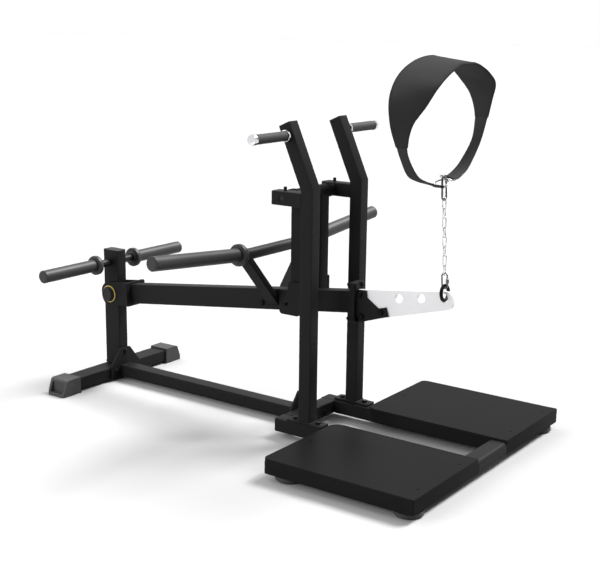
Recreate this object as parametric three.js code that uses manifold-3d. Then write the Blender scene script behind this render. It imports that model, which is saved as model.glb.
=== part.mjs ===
import * as THREE from 'three';
import { mergeVertices } from 'three/addons/utils/BufferGeometryUtils.js';
import Module from 'manifold-3d';

// Belt squat machine, in millimetres. +X runs from the rear post towards the decks, +Z is up, and the machine is
// the same on both sides of Y = 0. Stations along X are measured from the uprights' front faces until the end,
// where the whole machine moves so that its origin is at the bottom centre of its box.
// Near is the -Y side and far is the +Y side.

const wasm = await Module();
wasm.setup();

// Fits
const seat = 0.3; // gap between two pieces that touch
const slip = 0.3; // radial clearance of a shaft in its bore
const weld = 1; // how far a welded piece bites into the next
const overrun = 10; // how far a cutting shape runs past what it cuts

// Steel stock
const wall = 3;
const cornerRadius = 5;
const plateThickness = 8;
const beamWidth = 60;
const beamHeight = 50;
const tubeSize = 50;

// Rear post, rear foot and base rail
const pivotBack = 1114; // uprights' front faces to the lever's pivot
const pivotHeight = 362;
const postWidth = 50;
const postDepth = 80;
const postTop = 545;
const rearFootLift = 10;
const footCapReach = 351;
const footCapLength = 96;
const footCapWall = 6;
const footCapSlant = 25;
const footCapCorner = 12;
const footCapRecess = 5;
const railLift = 14;
const railDrainRadius = 5;
const endPlateHalfWidth = 80;
const endPlateTopHalfWidth = 28;
const endPlateHeight = 118;
const endPlateShoulder = 52;
const endPlateBoltSpread = 110;
const endPlateTopBoltInset = 16;

// Cross tube, side beams and decks
const crossTubeBack = 152; // uprights' front faces back to the cross tube's rear face
const deckLift = 20;
const deckFront = 632;
const deckRear = 60;
const deckInner = 105;
const deckOuter = 528;
const deckOverhang = 5;
const deckLipRadius = 20;
const deckLipLift = 6;
const deckInnerCorner = 40;
const deckOuterCorner = 22;
const crossbarCorner = 14;
const deckFootRadius = 48;
const deckFootRound = 5;
const deckFootInset = 58;
const deckRearFootInset = 70;
const screwRadius = 3.5;
const screwHeadRadius = 7;
const screwHeadHeight = 3;
const screwEdgeInset = 28;
const screwInnerInset = 86;
const screwOuterInset = 76;
const screwRearInset = 37;

// Uprights and handles
const uprightGap = 255;
const uprightBendHeight = 915; // of the bend line on the front face
const uprightLean = 24; // degrees
const uprightLeanLength = 238;
const footPlateBack = 100;
const footPlateFront = 50;
const plugThickness = 3;
const plugDepth = 14;
const handleAlong = 198; // from the bend, up the leaning part
const handleBarRadius = 13;
const handleCollarRadius = 18;
const handleCollarWidth = 20;
const handleGripRadius = 17;
const handleGripLength = 145;
const handleEndRadius = 18.5;
const handleEndLength = 36;
const handleEndRound = 4;
const handleSpigot = 12;

// Bolt holes
const boltRadius = 6;

// Plate storage on the rear post
const storageHeight = 494;
const storageHalfLength = 391;
const storageBarRadius = 15;
const storageCollarRadius = 39;
const storageCollarInner = 100;
const collarWidth = 18;
const collarRound = 3;
const sleeveRadius = 25;
const sleeveWall = 3.5;
const sleeveCapThickness = 6;
const sleeveCapRound = 2;
const sleeveCapSpigot = 12;

// Swinging support
const axleBack = 132;
const axleHeight = 873;
const axleRadius = 10;
const axleRecess = 2;
const stubBack = 173;
const setScrewRadius = 4;
const setScrewHeadRadius = 6;
const setScrewHeadHeight = 14;
const barrelRadius = 24;
const bushWall = 5;
const bushFlange = 4;
const bushFlangeRadius = 22;
const bushLength = 30;
const legGap = 70;
const legCope = 10; // the legs' tops below the axle
const legBottom = 495;
const hookBack = 199;
const hookTop = 560;
const hookBottom = 437;
const hookCorner = 14;
const hookWallTop = 520;

// Lever
const leverTilt = 6.97; // degrees, front end up, as it rests in the hooks
const armWidth = 50;
const armHeight = 80;
const clevisGap = 54.6;
const clevisHeight = 96;
const clevisBack = 44;
const clevisCorner = 40;
const webAlong = 107;
const webThickness = 10;
const webHalfWidth = 57;
const webCorner = 8;
const pivotRadius = 12;
const housingRadius = 22;
const housingLength = 52;
const washerRadius = 36;
const washerThickness = 4;
const pivotCapRadius = 27.5;
const pivotCapHeight = 14;
const pivotCapRound = 4;
const pinAlong = 949;
const pinRadius = 8;
const pinHalfLength = 100;
const doublerThickness = 6;
const doublerHeight = 74;
const doublerBack = 74;
const doublerFront = 32;
const doublerCorner = 10;
const crossBoltAlong = 791;
const crossBoltDrop = 14;

// Loading bar and its struts, in the lever's own tilted frame
const loadAlong = 863;
const loadAbove = 237.5;
const loadHalfLength = 670;
const loadBarRadius = 21;
const loadBarWall = 5;
const loadCollarRadius = 40;
const loadCollarInner = 214;
const strutThickness = 25;
const strutFootAlong = 844;
const strutFootBelow = 5;
const strutTopSpread = 202;

// Nose bracket and lever plate
const noseReach = 62; // uprights' front faces to the rear of the arm's end flange
const flangeThickness = 10;
const flangeWidth = 60;
const flangeHeight = 141;
const flangeCorner = 6;
const flangeBoltInset = 9;
const flangeBoltRadius = 5;
const cheekLength = 131;
const cheekHeight = 119;
const cheekDrop = 73;
const cheekOutlineShares = [
  [0, 0], [0.19, 0.04], [1, 0.34], [0.92, 0.6], [0.68, 0.53], [0.32, 0.79], [0.29, 1], [0, 1],
];
const cheekBoltShares = [[0.11, 0.865], [0.18, 0.21], [0.78, 0.437]];
const leverPlateThickness = 12;
const leverPlateLength = 376;
const leverPlateRoot = 117;
const leverPlateTip = 60;
const leverPlateDrop = 72;
const leverPlateRise = 75;
const leverPlateTipRadius = 24;
const leverPlateBellyShares = [0.365, 0.33];
const towHoleRadius = 15.5;
const towHoleInset = 34;
const towHolePitch = 88;
const towHoleSlope = 8.7; // degrees
const towHoleCount = 3;
const towHoleRise = 3;

// Tether, in its own frame with the origin at the tow hole's centre
const tetherLean = 3; // degrees, towards the rear
const ringRadius = 25;
const ringWire = 6;
const ringDrop = 7;
const linkGap = 0.9;
const linkWire = 2.75;
const linkInnerLength = 46;
const linkHalfWidth = 10.25;
const chainWire = 2.25;
const chainPitch = 31.6;
const chainHalfWidth = 6.25;
const chainCount = 8;
const chainBite = 0.3; // the taut chain's links touch, and are one piece here
const hookWire = 3.5;
const hookLength = 80.5;
const hookFootRadius = 14;
const hookHeadRadius = 12.5;
const gateLength = 33;
const gateRadius = 2.6;
const gateGap = 0.8;
const gateShoulder = 3; // how far the hook's foot stands up below the gate

// Belt, around the snap hook's head
const beltThickness = 8;
const beltHalfWidth = 283;
const beltCentreRise = 191; // the loop's centre above the middle of the snap hook's head
const padWidth = 155;
const padAngles = [66, 75, 90, 105, 120, 135, 150, 165, 180]; // degrees from the bottom of the loop
const padRearRadiusShares = [0.89, 0.93, 1, 0.99, 0.894, 0.813, 0.756, 0.728, 0.724];
const padFrontRadiusShares = [0.905, 0.926, 0.898, 0.813, 0.802, 0.735, 0.689, 0.668, 0.65];
const padRearOffsetShares = [-0.242, -0.234, -0.277, -0.374, -0.471, -0.503, -0.503, -0.484, -0.452];
const padFrontOffsetShares = [0.026, 0.045, 0.142, 0.323, 0.471, 0.497, 0.497, 0.49, 0.49];
const strapWidth = 40;
const strapThickness = 4;
const strapAngles = [21, 32, 45]; // degrees, between the D ring and the pad
const strapRadiusShares = [0.756, 0.784, 0.835];
const strapOffsetShares = [-0.2, -0.42, -0.52]; // of the strap's width, behind the D ring's middle
const strapSewnSteps = 2; // of the pad's steps that the strap runs on inside the pad
const strapEyeWidth = 36;
const dRingWire = 2.5;
const dRingHalfWidth = 24;
const dRingDepth = 40;
const dRingCorner = 5;
const dRingPast = 3; // how far each D ring's round end passes the middle
const dRingTilt = 22; // degrees, its straight side down
const nearRingRise = 5.2;
const farRingRise = -1.8;

// Facets
const roundSteps = 20;
const smallSteps = 8;
const wireSides = 8;
const cornerSteps = 2;
const arcSteps = 3;
const linkArcSteps = 4;
const hookArcSteps = 6;
const linkSides = 6;
const padStepsPerSegment = 2;
const strapSteps = 7;

// Finishes
const finish = (color, roughness, metalness) => new THREE.MeshStandardMaterial({ color, roughness, metalness });
const powderBlack = finish(0x29292b, 0.55, 0.25);
const sleeveGrey = finish(0x4d4d50, 0.42, 0.6);
const rubberGrey = finish(0x3a3a3b, 0.85, 0);
const plasticBlack = finish(0x1b1b1c, 0.6, 0);
const chrome = finish(0xd8dadb, 0.15, 1);
const zinc = finish(0x55565a, 0.4, 0.9);
const leverWhite = finish(0xe6e6e4, 0.35, 0.1);
const washerYellow = finish(0xc9a62a, 0.5, 0);
const beltBlack = finish(0x242425, 0.8, 0);

const near = -1;
const far = 1;
const radians = THREE.MathUtils.degToRad;
const vec = (x, y, z) => new THREE.Vector3(x, y, z);
const unitX = vec(1, 0, 0);
const unitY = vec(0, 1, 0);
const unitZ = vec(0, 0, 1);

// A geometry with only its positions, shared vertices merged and flat triangles dropped.
function bare(geometry) {
  const plain = new THREE.BufferGeometry();
  plain.setAttribute('position', geometry.getAttribute('position'));
  plain.setIndex(geometry.getIndex());
  const merged = mergeVertices(plain);
  const index = merged.getIndex().array;
  const kept = [];
  for (let i = 0; i < index.length; i += 3) {
    const [a, b, c] = [index[i], index[i + 1], index[i + 2]];
    if (a !== b && b !== c && c !== a) kept.push(a, b, c);
  }
  merged.setIndex(kept);
  return merged;
}

function solidOf(geometry) {
  const source = bare(geometry);
  const mesh = new wasm.Mesh({
    numProp: 3,
    vertProperties: new Float32Array(source.getAttribute('position').array),
    triVerts: new Uint32Array(source.getIndex().array),
  });
  return new wasm.Manifold(mesh);
}

function geometryOf(solid) {
  const mesh = solid.getMesh();
  const geometry = new THREE.BufferGeometry();
  geometry.setAttribute('position', new THREE.BufferAttribute(new Float32Array(mesh.vertProperties), 3));
  geometry.setIndex(Array.from(mesh.triVerts));
  return geometry;
}

const combine = (method) => (first, ...others) =>
  geometryOf(others.reduce((solid, other) => solid[method](solidOf(other)), solidOf(first)));
const cut = combine('subtract');
const join = combine('add');
const overlapOf = combine('intersect');

function mirrored(geometry) {
  const copy = bare(geometry).scale(1, -1, 1);
  const index = copy.getIndex().array;
  for (let i = 0; i < index.length; i += 3) [index[i], index[i + 1]] = [index[i + 1], index[i]];
  return copy;
}

const onSide = (side, geometry) => (side === far ? bare(geometry) : mirrored(geometry));

// Blocks, rods, rings and plates
const block = (x0, x1, y0, y1, z0, z1) =>
  new THREE.BoxGeometry(x1 - x0, y1 - y0, z1 - z0).translate((x0 + x1) / 2, (y0 + y1) / 2, (z0 + z1) / 2);

const rodY = (radius, x, z, y0, y1, steps = roundSteps) =>
  new THREE.CylinderGeometry(radius, radius, y1 - y0, steps).translate(x, (y0 + y1) / 2, z);

const rodX = (radius, y, z, x0, x1, steps = roundSteps) =>
  new THREE.CylinderGeometry(radius, radius, x1 - x0, steps).rotateZ(-Math.PI / 2)
    .translate((x0 + x1) / 2, y, z);

const rodZ = (radius, x, y, z0, z1, steps = roundSteps) =>
  new THREE.CylinderGeometry(radius, radius, z1 - z0, steps).rotateX(Math.PI / 2)
    .translate(x, y, (z0 + z1) / 2);

// A profile of [radius, y] points turned about the Y axis. It starts and ends on the axis, or closes on itself.
const turned = (profile, x, z, steps = roundSteps) =>
  new THREE.LatheGeometry(profile.map(([radius, y]) => new THREE.Vector2(radius, y)), steps).translate(x, 0, z);

// The two points that round a turned edge, from one face to the next.
const ringProfile = (inner, outer, y0, y1, round = 0) => {
  const edge = round > 0
    ? [[outer - round, y0], [outer, y0 + round], [outer, y1 - round], [outer - round, y1]]
    : [[outer, y0], [outer, y1]];
  return [[inner, y0], ...edge, [inner, y1], [inner, y0]];
};

// An outline drawn counterclockwise through [a, b, radius] corners.
function outline(corners) {
  const points = corners.map(([a, b]) => new THREE.Vector2(a, b));
  const shape = new THREE.Shape();
  corners.forEach(([a, b, radius = 0], i) => {
    const corner = points[i];
    const before = points.at(i - 1).clone().sub(corner).normalize();
    const after = points[(i + 1) % points.length].clone().sub(corner).normalize();
    const draw = i === 0 ? 'moveTo' : 'lineTo';
    if (radius === 0) {
      shape[draw](a, b);
      return;
    }
    const half = Math.acos(before.dot(after)) / 2;
    const start = corner.clone().addScaledVector(before, radius / Math.tan(half));
    const end = corner.clone().addScaledVector(after, radius / Math.tan(half));
    const inward = before.clone().add(after).normalize();
    const centre = corner.clone().addScaledVector(inward, radius / Math.sin(half));
    const angleTo = (point) => Math.atan2(point.y - centre.y, point.x - centre.x);
    shape[draw](start.x, start.y);
    shape.absarc(centre.x, centre.y, radius, angleTo(start), angleTo(end), before.cross(after) > 0);
  });
  shape.closePath();
  return shape;
}

const slab = (shape, depth) => new THREE.ExtrudeGeometry(shape, {
  depth, bevelEnabled: false, curveSegments: arcSteps,
});
const plateX = (shape, x0, x1) =>
  slab(shape, x1 - x0).applyMatrix4(new THREE.Matrix4().makeBasis(unitY, unitZ, unitX)).translate(x0, 0, 0);
const plateY = (shape, y0, y1) => slab(shape, y1 - y0).rotateX(Math.PI / 2).translate(0, y1, 0);
const plateZ = (shape, z0, z1) => slab(shape, z1 - z0).translate(0, 0, z0);

// Skins stretched over rings of points that all have the same count
function sideFaces(first, count, spans, ringCount, inward = false) {
  const faces = [];
  for (let i = 0; i < spans; i += 1) {
    const a = first + i * count;
    const b = first + ((i + 1) % ringCount) * count;
    for (let j = 0; j < count; j += 1) {
      const k = (j + 1) % count;
      const quad = [a + j, a + k, b + k, a + j, b + k, b + j];
      faces.push(...(inward ? quad.reverse() : quad));
    }
  }
  return faces;
}

function skinned(points, faces) {
  const geometry = new THREE.BufferGeometry();
  geometry.setAttribute('position', new THREE.Float32BufferAttribute(points.flatMap((p) => p.toArray()), 3));
  geometry.setIndex(faces);
  return geometry;
}

function solidSkin(rings, closed = false) {
  const count = rings[0].length;
  const faces = sideFaces(0, count, closed ? rings.length : rings.length - 1, rings.length);
  const last = (rings.length - 1) * count;
  for (let j = 1; !closed && j < count - 1; j += 1) faces.push(0, j + 1, j, last, last + j, last + j + 1);
  return skinned(rings.flat(), faces);
}

function hollowSkin(outer, inner) {
  const count = outer[0].length;
  const offset = outer.length * count;
  const last = (outer.length - 1) * count;
  const faces = [
    ...sideFaces(0, count, outer.length - 1, outer.length),
    ...sideFaces(offset, count, outer.length - 1, outer.length, true),
  ];
  for (let j = 0; j < count; j += 1) {
    const k = (j + 1) % count;
    faces.push(j, offset + j, offset + k, j, offset + k, k);
    faces.push(last + j, offset + last + k, offset + last + j, last + j, last + k, offset + last + k);
  }
  return skinned([...outer.flat(), ...inner.flat()], faces);
}

// Mitred rings of a section along a flat path. side is square to the path's plane, and closed paths join up.
function ringsAlong(path, side, section, closed = false) {
  return path.map((point, i) => {
    const previous = closed ? path.at(i - 1) : path[i - 1];
    const next = closed ? path[(i + 1) % path.length] : path[i + 1];
    const arriving = point.clone().sub(previous ?? point).normalize();
    const leaving = (next ?? point).clone().sub(point).normalize();
    const tangent = arriving.clone().add(leaving).normalize();
    const stretch = 1 / Math.max(tangent.dot(arriving), tangent.dot(leaving));
    const across = tangent.clone().cross(side);
    return section.map(([s, t]) => point.clone().addScaledVector(side, s).addScaledVector(across, t * stretch));
  });
}

function roundedSection(width, height, radius) {
  const points = [];
  [[1, 1], [-1, 1], [-1, -1], [1, -1]].forEach(([signS, signT], quarter) => {
    for (let i = 0; i <= cornerSteps; i += 1) {
      const angle = (quarter + i / cornerSteps) * (Math.PI / 2);
      points.push([
        signS * (width / 2 - radius) + radius * Math.cos(angle),
        signT * (height / 2 - radius) + radius * Math.sin(angle),
      ]);
    }
  });
  return points;
}

// An open-ended rectangular tube along a path. width is measured along side.
function tube(path, side, width, height, thickness = wall, corner = cornerRadius) {
  const outer = roundedSection(width, height, corner);
  const inner = roundedSection(width - 2 * thickness, height - 2 * thickness, Math.max(corner - thickness, seat));
  return hollowSkin(ringsAlong(path, side, outer), ringsAlong(path, side, inner));
}

// A solid slice of a rectangular tube's outline, from one point to another.
const bar = (from, to, side, width, height, corner = cornerRadius) =>
  solidSkin(ringsAlong([from, to], side, roundedSection(width, height, corner)));

const roundSection = (radius, sides) => Array.from({ length: sides }, (_, i) => {
  const angle = (i * 2 * Math.PI) / sides;
  return [radius * Math.cos(angle), radius * Math.sin(angle)];
});
const wire = (path, side, radius, closed = false, sides = wireSides) =>
  solidSkin(ringsAlong(path, side, roundSection(radius, sides), closed), closed);

const arc = (centre, a, b, radius, from, to, steps) => Array.from({ length: steps + 1 }, (_, i) => {
  const angle = radians(from + ((to - from) * i) / steps);
  return centre.clone().addScaledVector(a, radius * Math.cos(angle)).addScaledVector(b, radius * Math.sin(angle));
});

// A link with straight sides and half-round ends, upright in the plane of across and Z.
function chainLink(across, centreZ, innerLength, halfWidth, radius) {
  const reach = innerLength / 2 + radius - halfWidth;
  const side = unitZ.clone().cross(across);
  const path = [
    ...arc(vec(0, 0, centreZ + reach), across, unitZ, halfWidth, 0, 180, linkArcSteps),
    ...arc(vec(0, 0, centreZ - reach), across, unitZ, halfWidth, 180, 360, linkArcSteps),
  ];
  return wire(path, side, radius, true, linkSides);
}

// A plastic plug along +Z for a tube's end, with its head above the origin.
function tubePlug(width, depth, thickness = wall, corner = cornerRadius) {
  const head = roundedSection(width, depth, corner);
  const inset = thickness + seat;
  const spigot = roundedSection(width - 2 * inset, depth - 2 * inset, Math.max(corner - inset, seat));
  const along = (z0, z1, section) => solidSkin(ringsAlong([vec(0, 0, z0), vec(0, 0, z1)], unitX, section));
  return join(along(seat, seat + plugThickness, head), along(-plugDepth, seat + plugThickness / 2, spigot));
}

// A turned cap on the end of a round tube along Y, at the far side.
const sleeveCap = (y, boreRadius, x, z, hole = 0) => {
  const outer = y + seat;
  const end = outer + sleeveCapThickness;
  const round = sleeveCapRound;
  const face = [
    [boreRadius - seat, y - sleeveCapSpigot], [boreRadius - seat, outer], [sleeveRadius, outer],
    [sleeveRadius, end - round], [sleeveRadius - round, end],
  ];
  if (hole === 0) return turned([[0, y - sleeveCapSpigot], ...face, [0, end]], x, z);
  return turned([[hole, y - sleeveCapSpigot], ...face, [hole, end], [hole, y - sleeveCapSpigot]], x, z);
};

const machine = new THREE.Group();
const frame = new THREE.Group();
const support = new THREE.Group();
const lever = new THREE.Group();
const arm = new THREE.Group();
const tether = new THREE.Group();
const belt = new THREE.Group();
machine.add(frame, support, lever, tether, belt);
lever.add(arm);

function add(group, name, material, geometry) {
  const mesh = new THREE.Mesh(bare(geometry), material);
  mesh.name = name;
  group.add(mesh);
}

// A piece on the far side and its mirror image on the near side.
function addPair(group, name, material, geometry) {
  add(group, `${name}_near`, material, mirrored(geometry));
  add(group, `${name}_far`, material, geometry);
}

// Stations that several sub-assemblies share
const pivotX = -pivotBack;
const rearFootTop = rearFootLift + beamHeight;
const deckFrameTop = deckLift + beamHeight;
const uprightInner = uprightGap / 2;
const uprightOuter = uprightInner + tubeSize;
const uprightMiddle = uprightInner + tubeSize / 2;
const sideBeamInner = uprightOuter - beamWidth;
const deckTubeOuter = deckOuter - deckOverhang;
const crossbarFront = deckFront - plateThickness - seat;
const crossbarRear = crossbarFront - beamWidth;
const rearPlateX = pivotX + postDepth / 2 + seat;
const frontPlateX = -crossTubeBack - seat - plateThickness;
const endPlateBottom = railLift;
const lowerBoltZ = endPlateBottom + beamHeight / 2;
const upperBoltZ = endPlateBottom + endPlateHeight - endPlateTopBoltInset;

// Rear foot, post and base rail

function rearFootCaps() {
  const middle = rearFootLift + beamHeight / 2;
  const front = pivotX + postDepth / 2 + footCapWall;
  const rear = pivotX - postDepth / 2 - footCapWall;
  const top = rearFootTop + footCapWall;
  const inner = footCapReach - footCapLength;
  const side = outline([
    [inner, 0], [footCapReach, 0], [footCapReach - footCapSlant, top, footCapCorner], [inner, top],
  ]);
  const plan = outline([
    [rear, inner], [front, inner], [front, footCapReach, footCapCorner], [rear, footCapReach, footCapCorner],
  ]);
  const body = overlapOf(plateX(side, rear, front), plateZ(plan, -overrun, top + overrun));
  const cavity = bar(
    vec(pivotX, inner - overrun, middle), vec(pivotX, footCapReach - footCapSlant - footCapWall, middle),
    unitX, postDepth + 2 * seat, beamHeight + 2 * seat,
  );
  const recess = plateY(outline([
    [rear + footCapWall * 2, footCapWall * 2, footCapRecess],
    [front - footCapWall * 2, footCapWall * 2, footCapRecess],
    [front - footCapWall * 2, top - footCapWall * 2, footCapRecess],
    [rear + footCapWall * 2, top - footCapWall * 2, footCapRecess],
  ]), footCapReach - footCapSlant, footCapReach + overrun);
  addPair(frame, 'rear_foot_cap', rubberGrey, cut(body, cavity, recess));
}

function rearPost() {
  const footEnd = footCapReach - footCapSlant - footCapWall - seat;
  const middle = rearFootLift + beamHeight / 2;
  const bottom = rearFootTop - cornerRadius;
  const reach = postWidth / 2 + overrun;
  const boltHole = (y, z) => rodX(boltRadius + slip, y, z, pivotX, rearPlateX + overrun, smallSteps);
  add(frame, 'rear_post', powderBlack, cut(
    join(
      tube([vec(pivotX, -footEnd, middle), vec(pivotX, footEnd, middle)], unitX, postDepth, beamHeight),
      tube([vec(pivotX, 0, bottom), vec(pivotX, 0, postTop - plugThickness)], unitX, postDepth, postWidth),
      rodY(housingRadius, pivotX, pivotHeight, -housingLength / 2, housingLength / 2),
    ),
    rodY(pivotRadius + slip, pivotX, pivotHeight, -reach, reach),
    rodY(storageBarRadius + seat, pivotX, storageHeight, -reach, reach),
    boltHole(-endPlateBoltSpread / 2, lowerBoltZ),
    boltHole(endPlateBoltSpread / 2, lowerBoltZ),
    boltHole(0, upperBoltZ),
  ));
  add(frame, 'post_cap', plasticBlack, tubePlug(postDepth, postWidth).translate(pivotX, 0, postTop - plugThickness));
}

function endPlate(x) {
  const half = endPlateHalfWidth;
  const topHalf = endPlateTopHalfWidth;
  const [low, shoulder, high] = [0, endPlateShoulder, endPlateHeight].map((z) => endPlateBottom + z);
  const shape = outline([
    [-half, low], [half, low], [half, shoulder], [topHalf, high, cornerRadius], [-topHalf, high, cornerRadius],
    [-half, shoulder],
  ]);
  const hole = (y, z) => rodX(boltRadius + slip, y, z, x - overrun, x + plateThickness + overrun, smallSteps);
  return cut(
    plateX(shape, x, x + plateThickness),
    hole(-endPlateBoltSpread / 2, lowerBoltZ), hole(endPlateBoltSpread / 2, lowerBoltZ), hole(0, upperBoltZ),
  );
}

function baseRail() {
  const middle = railLift + beamHeight / 2;
  const start = rearPlateX + plateThickness - weld;
  const end = frontPlateX + weld;
  const rail = tube([vec(start, 0, middle), vec(end, 0, middle)], unitY, beamWidth, beamHeight);
  const drain = rodZ(railDrainRadius, end - beamWidth, 0, 0, middle, smallSteps);
  add(frame, 'base_rail', powderBlack, cut(join(rail, endPlate(rearPlateX), endPlate(frontPlateX)), drain));
}

// Cross tube, side beams, crossbar and decks

const screwPlaces = [
  [deckFront - screwEdgeInset, deckInner + screwInnerInset],
  [deckFront - screwEdgeInset, deckOuter - screwOuterInset],
  [deckRear + screwRearInset, (deckInner + deckOuter) / 2 - deckOverhang * 2],
];
const footBoltPlaces = [-(footPlateBack + tubeSize) / 2, footPlateFront / 2];

function deckHoles() {
  return [near, far].flatMap((side) => screwPlaces.map(([x, y]) => rodZ(
    screwRadius + slip, x, side * y, deckLift + beamHeight / 2, deckFrameTop + overrun, smallSteps,
  )));
}

function baseFront() {
  const middle = deckLift + beamHeight / 2;
  const crossX = -crossTubeBack + beamWidth / 2;
  const crossReach = sideBeamInner - seat;
  const crossTube = tube(
    [vec(crossX, -crossReach, middle), vec(crossX, crossReach, middle)], unitX, beamWidth, beamHeight,
  );
  const boltHoles = [near, far].map((side) => rodX(
    boltRadius + slip, side * endPlateBoltSpread / 2, lowerBoltZ, -crossTubeBack - overrun,
    -crossTubeBack + beamWidth + overrun, smallSteps,
  ));
  add(frame, 'front_cross_tube', powderBlack, cut(crossTube, ...boltHoles));

  const beamY = sideBeamInner + beamWidth / 2;
  const beam = tube(
    [vec(-crossTubeBack, beamY, middle), vec(crossbarRear - seat, beamY, middle)], unitY, beamWidth, beamHeight,
  );
  const footHoles = footBoltPlaces.map((x) => rodZ(
    boltRadius + slip, x, uprightMiddle, middle, deckFrameTop + overrun, smallSteps,
  ));
  const beamCap = bar(
    vec(-crossTubeBack, beamY, middle), vec(-crossTubeBack + wall, beamY, middle), unitY, beamWidth, beamHeight,
  );
  addPair(frame, 'side_beam', powderBlack, cut(join(beam, beamCap), ...footHoles));

  const crossbarX = (crossbarFront + crossbarRear) / 2;
  const crossbar = tube(
    [vec(crossbarX, -deckTubeOuter, middle), vec(crossbarX, deckTubeOuter, middle)], unitX, beamWidth, beamHeight,
    wall, crossbarCorner,
  );
  const crossbarCap = bar(
    vec(crossbarX, deckTubeOuter - wall, middle), vec(crossbarX, deckTubeOuter, middle), unitX,
    beamWidth, beamHeight, crossbarCorner,
  );
  // Between the decks, a strip brings the crossbar's front face level with the decks' lips.
  const stripReach = deckInner - seat;
  const stripRear = crossbarFront - crossbarCorner;
  const stripBottom = deckLift + deckLipLift;
  const stripShape = outline([
    [stripRear, stripBottom], [deckFront, stripBottom], [deckFront, deckFrameTop, crossbarCorner],
    [stripRear, deckFrameTop],
  ]);
  const faceStrip = cut(plateY(stripShape, -stripReach, stripReach), bar(
    vec(crossbarX, -stripReach - overrun, middle), vec(crossbarX, stripReach + overrun, middle), unitX,
    beamWidth - 2 * weld, beamHeight - 2 * weld, crossbarCorner - weld,
  ));
  add(frame, 'front_crossbar', powderBlack, cut(
    join(crossbar, crossbarCap, mirrored(crossbarCap), faceStrip), ...deckHoles(),
  ));
}

function decks() {
  const middle = deckLift + beamHeight / 2;
  const rearX = deckRear + deckOverhang + tubeSize / 2;
  const outerY = deckTubeOuter - tubeSize / 2;
  const frameTube = tube(
    [vec(rearX, uprightOuter + seat, middle), vec(rearX, outerY, middle), vec(crossbarRear - seat, outerY, middle)],
    unitZ, beamHeight, tubeSize,
  );
  addPair(frame, 'deck_frame', powderBlack, cut(frameTube, ...deckHoles()));

  const bottom = deckFrameTop + seat;
  const top = bottom + plateThickness;
  const lip = deckFront - plateThickness;
  const profile = outline([
    [deckRear, bottom], [lip, bottom, deckLipRadius - plateThickness], [lip, deckLift + deckLipLift],
    [deckFront, deckLift + deckLipLift], [deckFront, top, deckLipRadius], [deckRear, top],
  ]);
  const plan = outline([
    [deckRear, deckInner, deckInnerCorner], [deckFront + overrun, deckInner], [deckFront + overrun, deckOuter],
    [deckRear, deckOuter, deckOuterCorner],
  ]);
  const plate = overlapOf(plateY(profile, deckInner, deckOuter), plateZ(plan, 0, top + overrun));
  const sinks = screwPlaces.flatMap(([x, y]) => [
    rodZ(screwHeadRadius + slip, x, y, top - screwHeadHeight - seat, top + overrun, smallSteps),
    rodZ(screwRadius + slip, x, y, bottom - overrun, top, smallSteps),
  ]);
  addPair(frame, 'deck_plate', powderBlack, cut(plate, ...sinks));
}

function deckFeet() {
  const footTop = deckLift - seat;
  const profile = [
    [0, 0], [deckFootRadius - deckFootRound, 0], [deckFootRadius, deckFootRound],
    [deckFootRadius, footTop - deckFootRound / 2], [deckFootRadius - deckFootRound / 2, footTop], [0, footTop],
  ];
  const foot = (x) => turned(profile, 0, 0).rotateX(Math.PI / 2).translate(x, deckOuter - deckFootInset, 0);
  addPair(frame, 'front_deck_foot', rubberGrey, foot(deckFront - deckFootRadius - 2 * seat));
  addPair(frame, 'rear_deck_foot', rubberGrey, foot(deckRear + deckRearFootInset));
}

// Uprights, handles and support stubs

const lean = radians(uprightLean);
const leanAxis = vec(-Math.sin(lean), 0, Math.cos(lean));
const footPlateTop = deckFrameTop + seat + plateThickness;
const bend = vec(-tubeSize / 2, 0, uprightBendHeight - (tubeSize / 2) * Math.tan(lean / 2));
const uprightTop = bend.clone().addScaledVector(leanAxis, uprightLeanLength);
const handleCentre = bend.clone().addScaledVector(leanAxis, handleAlong);

function uprights() {
  const at = (x, z) => vec(x, uprightMiddle, z);
  const path = [at(-tubeSize / 2, footPlateTop - weld), at(bend.x, bend.z), at(uprightTop.x, uprightTop.z)];
  const footPlate = plateZ(outline([
    [-footPlateBack, uprightInner, cornerRadius], [footPlateFront, uprightInner, cornerRadius],
    [footPlateFront, uprightOuter, cornerRadius], [-footPlateBack, uprightOuter, cornerRadius],
  ]), deckFrameTop + seat, footPlateTop);
  const stub = tube([at(-stubBack, axleHeight), at(-tubeSize + weld, axleHeight)], unitY, tubeSize, tubeSize);
  const stubCap = bar(at(-stubBack, axleHeight), at(-stubBack + wall, axleHeight), unitY, tubeSize, tubeSize);
  const stubTop = axleHeight + tubeSize / 2;
  const footHoles = footBoltPlaces.map((x) => rodZ(
    boltRadius + slip, x, uprightMiddle, deckFrameTop - overrun, footPlateTop + overrun, smallSteps,
  ));
  addPair(frame, 'upright', powderBlack, cut(
    join(tube(path, unitY, tubeSize, tubeSize), footPlate, stub, stubCap),
    rodY(handleBarRadius + slip, handleCentre.x, handleCentre.z, uprightMiddle, uprightOuter + overrun),
    rodY(axleRadius + slip, -axleBack, axleHeight, uprightInner - overrun, uprightOuter + overrun),
    rodZ(setScrewRadius + slip, -axleBack, uprightMiddle, axleHeight, stubTop + overrun, smallSteps),
    ...footHoles,
  ));
  const cap = tubePlug(tubeSize, tubeSize).rotateY(-lean).translate(uprightTop.x, uprightMiddle, uprightTop.z);
  addPair(frame, 'upright_cap', plasticBlack, cap);
}

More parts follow.
